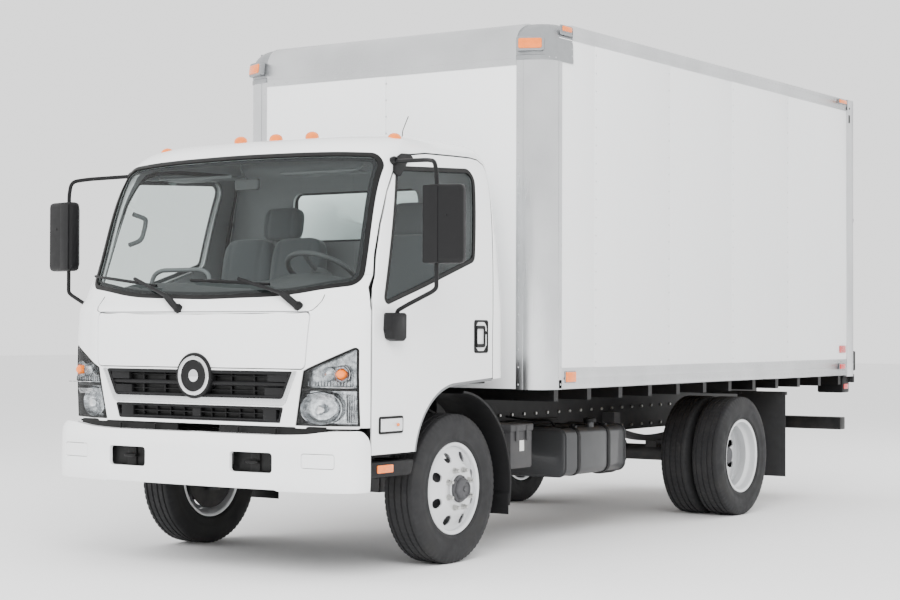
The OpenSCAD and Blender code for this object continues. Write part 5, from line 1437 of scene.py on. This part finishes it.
for x in (-840, -265, 0, 265, 840):
    z = 1560 if abs(x) > 500 else 1600
    tilt = 0.16 * (x > 500) - 0.16 * (x < -500)
    up = np.array([tilt, -0.12, 1.0])
    bases.add(lathe([(47, -14), (47, 8), (42, 13), (0, 13)], (x, -380, z), up, 32))
    glow.add(lathe([(40, 12), (40, 24), (36, 36), (26, 46), (12, 52), (0, 53)], (x, -380, z), up, 32))
bases.add(lathe([(16, -14), (16, 6), (12, 12), (0, 12)], (800, -250, 1586), (0.1, -0.1, 1), 20))
bases.add(tube([(800, -250, 1590), (803, -246, 1640), (830, -230, 1720)], 2.6, 10, 8))
bases.piece("roof_lamp_bases", PLASTIC, "cab")
glow.piece("roof_lamp_domes", AMBER, "cab")

# ---- Mirrors, handles, wheel-arch edges and wipers: black moulded mirror heads on bent
# tubes, recessed pull handles, a soft grey arch lip and two wipers parked on the glass.
MIRROR_GLASS = finish("mirror_glass", (0.85, 0.87, 0.88), 0.03, metal=1.0)
edge_x = lambda z: 1059 - (z - 660) * 101 / 800
head = []
for z, by in ((868, 26), (872, 12), (882, 3), (900, 0), (1076, -2), (1255, 0), (1272, 3), (1281, 12),
              (1285, 26)):
    ring = inset(rounded([(-112, -46), (112, -46), (112, 34), (-112, 48)], [34, 26, 30, 34], 6), max(by, 0))
    head.append(np.column_stack([ring, np.full(len(ring), float(z))]))
points, faces = closed_rings(head)
a = math.radians(12)
turn_head = np.array([[math.cos(a), -math.sin(a), 0], [math.sin(a), math.cos(a), 0], [0, 0, 1]])


def on_mirror(shape):
    """A shape drawn about the mirror's own middle, turned and carried out to its arm."""
    points, faces = shape
    return np.asarray(points, float) @ turn_head.T + (1393, -690, 0), faces


mirror_head = on_mirror((points, faces))
arms = Shape().add(tube([(edge_x(1435), -552, 1437), (1250, -640, 1424), (1330, -698, 1408),
                         (1345, -702, 1330),
                         (1345, -702, 1270)], 11.5, 44, 14))
arms.add(tube([(1345, -702, 880), (1345, -702, 740), (1320, -702, 722), (1160, -712, 650), (1104, -716, 622),
               (1098, -716, 590)], 11.5, 44, 14))
wedge = rounded([(-588, 1362), (-556, 1446), (-480, 1484), (-405, 1486), (-352, 1462), (-440, 1436),
                 (-530, 1352)],
                [16, 30, 40, 20, 14, 40, 16])
arms.add(panel(CAB, from_side(wedge), thick=8, lip=7, depth=-13, grid=30))
arms.add(lathe([(25, 0), (25, 26), (20, 36), (12, 44)], (edge_x(1437) - 14, -548, 1437), (1, -0.4, 0.1), 20))
bracket = rounded([(-788, 520), (-772, 470), (-735, 459), (-672, 459), (-650, 476), (-648, 600), (-660, 611),
                   (-782, 611)],
                  [18, 20, 20, 16, 12, 10, 10, 10])
arms.add(prism(bracket, "x", 1058, 1124, 12))
details = Shape().add(on_mirror(prism(oval((-110, 872), (-26, 1281), 6), "y", -49.5, -44, 1.5)))
details.add(on_mirror(lathe([(7, 0), (6, 3), (0, 3)], (20, -46, 1120), (0, -1, 0), 16)))
face_glass = on_mirror(prism(oval((-96, 890), (96, 1262), 20), "y", 38, 45, 2))
grip = oval((99, 388), (244, 577), 16)
arch_places = [(-60 + 415 * math.cos(math.radians(a)),
                -200 + 415 * math.sin(math.radians(a))) for a in range(172, 89, -4)]
arch_places = np.array([p for p in arch_places if p[1] > -148] + [(60, 222), (180, 229), (290, 235)])
for side, right in (("left", False), ("right", True)):
    node = side + "_mirror"
    body = side + "_door"
    head_piece = Shape().add(mirror_head).add((np.vstack(arms.points), arms.faces))
    head_piece.piece(node + "_head", PLASTIC, body, right, replaces=[node], slot="black_plastic")
    details.piece(node + "_cover", PLASTIC, body, right)
    Shape().add(face_glass).piece(node + "_glass", MIRROR_GLASS, body, right)
    handle = Shape().add(panel(CAB, from_side(grip), [from_side(inset(turning(grip), 12))], thick=10, lip=3,
                               depth=-5, grid=60))
    points, faces = fill([turning(from_side(inset(turning(grip), 11)))], 40)
    inward = np.exp(-(((points - points.mean(0)) / (40, 55)) ** 2).sum(1)) * 22
    handle.add((CAB.at(points, inward - 1.5), faces))
    handle.add(panel(CAB, from_side(oval((112, 420), (206, 545), 14)),
                     [from_side(oval((122, 440), (196, 526), 8))], thick=8,
                     lip=3, depth=-11, grid=60))
    handle.add(lathe([(12, -3), (12, 3), (9, 4), (0, 4)], CAB.at(from_side([(222, 505)]), 3)[0], (1, 0, 0.1),
                     24))
    handle.piece(body + "_handle", PLASTIC, body, right, closed=False)
for side, right in (("left", False), ("right", True)):
    lip_path = CAB.at(from_side(np.vstack([arch_places, arch_places[:1]]), 1e9)[:len(arch_places)], 7)
    Shape().add(tube(lip_path, 8, 20, 10)).piece(side + "_arch_edge", TRIM, side + "_door", right)
wiper = Shape()
for pivot, elbow, mid, tips in (
    ((-142, 632), (-250, 684), (-560, 796), ((-969, 822), (-379, 758))),
    ((684, 642), (560, 694), (225, 786), ((-126, 786), (437, 758))),
):
    at = lambda p, off: CAB.at(from_front([p, (0, 500), (1, 400)], 1e9)[:1], off)[0]
    base, rest = at(pivot, 0), at(mid, -26)
    wiper.add(lathe([(26, -8), (26, 14), (20, 22), (17, 30), (0, 31)], base, (0, -0.85, 0.5), 24))
    knee = at(elbow, -34)
    flat = [base + (0, -20, 6), base * 0.55 + knee * 0.45 + (0, -14, 4), knee, rest]
    side = np.array([10, 0, 6])
    wiper.add(tube(flat, 10, 20, 10)).add(tube([p + side for p in flat[:3]], 10, 20, 10))
    wiper.add(tube([p - side for p in flat[:3]], 10, 20, 10))
    blade = [at(np.array(tips[0]) * (1 - t) + np.array(tips[1]) * t, 0) for t in np.linspace(0, 1, 9)]
    for r, off, part in ((4, -5, blade), (7.5, -14, blade), (6, -25, blade[2:7])):
        wiper.add(tube([p + np.array([0, 0.88, -0.47]) * off for p in part], r, 4, 8))
wiper.piece("wiper_arms", PLASTIC, "cab", replaces=["wipers"], slot="black_plastic")

# ---- Cab interior: a moulded dashboard with a hood over the dials, rubber floor mat, dark
# cloth seats with headrests, a three-spoke steering wheel, mirror, visors and grab handles.
SOFT = finish("dashboard_grain", (0.035, 0.037, 0.038), 0.6,
              look=lambda p, z: {"bump": (0.12, 0.0004, p.noise(700, 2)),
                                 "Roughness": p.noise(12).part(0.3, 0.7) * 0.1 + 0.55})
HARD = finish("interior_grey", (0.11, 0.115, 0.118), 0.55,
              look=lambda p, z: {"Roughness": p.noise(12).part(0.3, 0.7) * 0.1 + 0.5})
MAT = finish("floor_mat", (0.02, 0.02, 0.02), 0.75, look=lambda p, z: {
    "bump": (0.5, 0.002, (p.made("SeparateXYZ", {0: p}, out=0) * 420).maths("SINE")),
    "Base Color": p.noise(8, 5).part(0.45, 0.8).blend((0.02, 0.02, 0.02, 1), (0.07, 0.06, 0.055, 1))})
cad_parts["cab_floor"].data.materials.clear()
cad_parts["cab_floor"].data.materials.append(MAT)
dash = Shape()
rings = []
for x in (-930, -926, -910, -800, -700, -560, -200, 0, 200, 285, 340, 420, 520, 620, 700, 755, 800, 860, 910,
          926, 930):
    hood = math.exp(-((x - 520) / 210) ** 4) * 42
    low = np.clip((abs(x) - 700) / 220, 0, 1) ** 2
    by = 12 * (abs(x) > 928) + 4 * (abs(x) > 924)
    front = -900 + 75 * low
    rings.append([(x, front, 450 + by), (x, front, 640), (x, front + 22, 700 - 20 * low),
                  (x, front + 44, 752 - 60 * low),
                  (x, front + 75 + by, 776 - 80 * low), (x, -760, 786 + hood - 90 * low),
                  (x, -715 + hood * 0.6, 782 + hood - 95 * low),
                  (x, -690 + hood * 0.7 - by, 762 + hood * 0.8 - 95 * low),
                  (x, -672 + hood * 0.2 - by, 720 - 60 * low),
                  (x, -690 - by, 640), (x, -718 - by, 520), (x, -760, 452 + by)])
dash.add(closed_rings([np.array(r, float) for r in rings]))
dash.add(prism(rounded([(-700, 250), (-700, 560), (-560, 545), (-520, 470), (-520, 250)], [2, 30, 40, 30, 2]),
               "x", 60, 250, 12))
dash.piece("dashboard_moulding", SOFT, "cab", replaces=["dashboard"], slot="black_plastic")
fittings = Shape()
for x in (-760, -250, 40, 240, 800):
    fittings.add(block((x - 62, -690, 640), (x + 62, -664, 700), 6, "y"))
    for k in range(4):
        fittings.add(block((x - 54, -668, 650 + 12 * k), (x + 54, -656, 653 + 12 * k), 1, "y"))
fittings.add(block((20, -705, 520), (230, -668, 615), 6, "y"))
fittings.add(lathe([(38, 0), (42, 60), (46, 200), (40, 215)], (520, -748, 610), (0, 0.53, 0.85), 24))
fittings.add(tube([(520, -700, 690), (620, -690, 705), (705, -680, 716)], 6, 10, 8))
fittings.add(tube([(520, -700, 690), (420, -690, 700), (335, -680, 708)], 6, 10, 8))
fittings.add(tube([(155, -590, 540), (150, -570, 620), (150, -556, 700)], 9, 20, 10))
fittings.add(lathe([(10, -24), (22, -10), (25, 6), (20, 22), (0, 27)], (150, -552, 724), (0, 0.2, 1), 20))
fittings.piece("dashboard_fittings", HARD, "cab")
rail = Shape()
rail.add(tube([(-690, -700, 740), (-660, -690, 838), (-600, -688, 862), (-300, -688, 862), (-240, -690, 838),
               (-215, -700, 740)],
              13, 60, 12))
a, b, d = -600, 1195, 1040
for s in (-1, 1):
    rail.add(tube([(s * 905, a - 10, b + 8), (s * 880, a + 74, b - 16), (s * 892, a + 80, b - 60),
                   (s * 905, a + 62, d + 10),
                   (s * 925, a - 20, d - 20)], 14, 34, 12))
rail.piece("grab_handles", HARD, "cab")
dials = Shape().add(block((360, -716, 722), (680, -712, 790), 2, "y"))
dials.piece("dial_panel", SEAL, "cab")
wheel = Shape()
centre, tilt = np.array([520, -610, 830]), math.radians(-32)
axis = np.array([0, -math.sin(tilt), math.cos(tilt)])
side, up = np.array([1.0, 0, 0]), np.cross(axis, (1.0, 0, 0))
AROUND, n, WHEEL_R = 64, 14, 205
rings = []
for a in np.arange(AROUND) * 2 * math.pi / AROUND:
    out = math.cos(a) * side + math.sin(a) * up
    grip = 14.5 - 1.0 * math.cos(8 * a) * 0.4
    rings.append([centre + out * (WHEEL_R + grip * math.cos(b)) + axis * grip * math.sin(b)
                  for b in np.arange(n) * 2 * math.pi / n])
points, faces = closed_rings([np.array(r) for r in rings], caps=False)
last = (AROUND - 1) * n
faces += [[last + i, last + (i + 1) % n, (i + 1) % n, i] for i in range(n)]
wheel.add((points, faces))
for a in (math.radians(18), math.radians(162), math.radians(270)):
    out = math.cos(a) * side + math.sin(a) * up
    wheel.add(tube([centre - axis * 14 + out * 40, centre - axis * 16 + out * 120,
                    centre - axis * 3 + out * 198], 11, 40, 10))
wheel.add(lathe([(58, -40), (66, -34), (66, -8), (60, 2), (40, 8), (0, 9)], centre, axis, 40, caps=True))
wheel.piece("steering_wheel_rim", SOFT, "steering_wheel", replaces=["steering_wheel"], slot="black_plastic")
mirror = Shape().add(prism(oval((-128, 1316), (42, 1380), 14), "y", -600, -572, 7))
mirror.add(tube([(-40, -594, 1372), (-40, -640, 1420), (-40, -655, 1452)], 6, 20, 10))
mirror.piece("inside_mirror", SOFT, "cab")
visors = Shape().both(prism(oval((190, -560), (700, -400), 24), "z", 1392, 1408, 7))
visors.both(tube([(180, -560, 1404), (730, -560, 1404), (760, -548, 1430)], 6, 16, 8))
visors.piece("sun_visors", HARD, "cab")
CLOTH = finish("seat_cloth", (0.05, 0.055, 0.058), 0.9, **{"Sheen Weight": 0.25}, look=lambda p, z: {
    "bump": (0.35, 0.0008, p.noise(900, 2, (1, 1, 1.6))),
    "Base Color": p.noise(600, 2).part(0.3, 0.7).blend((0.035, 0.04, 0.043, 1), (0.075, 0.08, 0.084, 1))})


def cushion(centre, size, lean, squash=2.6, n=28):
    """A padded block: superellipsoid faces, softly crowned, with a stitched seam round it."""
    half = np.array(size, float) / 2
    points, faces = [], []
    m = n * 2
    for i in range(1, n):
        v = -math.pi / 2 + math.pi * i / n
        for j in range(m):
            u = 2 * math.pi * j / m
            e = 2 / squash
            power = lambda c: math.copysign(abs(c) ** (e * 0.52), c)
            cu, su, cv, sv = power(math.cos(u)), power(math.sin(u)), power(math.cos(v)), power(math.sin(v))
            points.append((half[0] * cu * cv, half[1] * sv, half[2] * su * cv))
    for i in range(n - 2):
        for j in range(m):
            faces.append([i * m + j, i * m + (j + 1) % m, (i + 1) * m + (j + 1) % m, (i + 1) * m + j])
    faces += [list(range(m))[::-1], [(n - 2) * m + j for j in range(m)]]
    points = np.array(points)
    crown = 1 - 0.10 * ((points[:, 0] / half[0]) ** 2 + (points[:, 2] / half[2]) ** 2)
    points[:, 1] *= crown
    groove = np.exp(-((abs(points[:, 0]) - half[0] * 0.62) / 9) ** 2) * 7
    points[:, 1] -= np.sign(points[:, 1]) * groove * (abs(points[:, 1]) > half[1] * 0.5)
    a = math.radians(lean)
    turn = np.array([[1, 0, 0], [0, math.cos(a), -math.sin(a)], [0, math.sin(a), math.cos(a)]])
    return points @ turn.T + centre, faces


seats, posts = Shape(), Shape()
for x, width, heads in ((520, 500, (520,)), (-470, 780, (-450,))):
    parts = [x] if width < 600 else [x - 195, x + 195]
    for c in parts:
        w = width / len(parts) - 6
        seats.add(cushion((c, -205, 612), (w, 160, 530), 88))
        seats.add(cushion((c, 168, 820), (w, 130, 520), -8.5))
    for c in heads:
        seats.add(cushion((c, 250, 1170), (286, 96, 205), -9, 2.2))
        for s in (-60, 60):
            posts.add(tube([(c + s, 212, 1020), (c + s, 240, 1140)], 6, 10, 8))
    posts.add(block((x - width / 2 + 40, -380, 252), (x + width / 2 - 40, 30, 545), 12))
seats_piece = seats.piece("seat_cushions", CLOTH, "cab", replaces=["seats"], slot="seat_fabric", angle=60)
posts.piece("seat_frames", HARD, "cab")
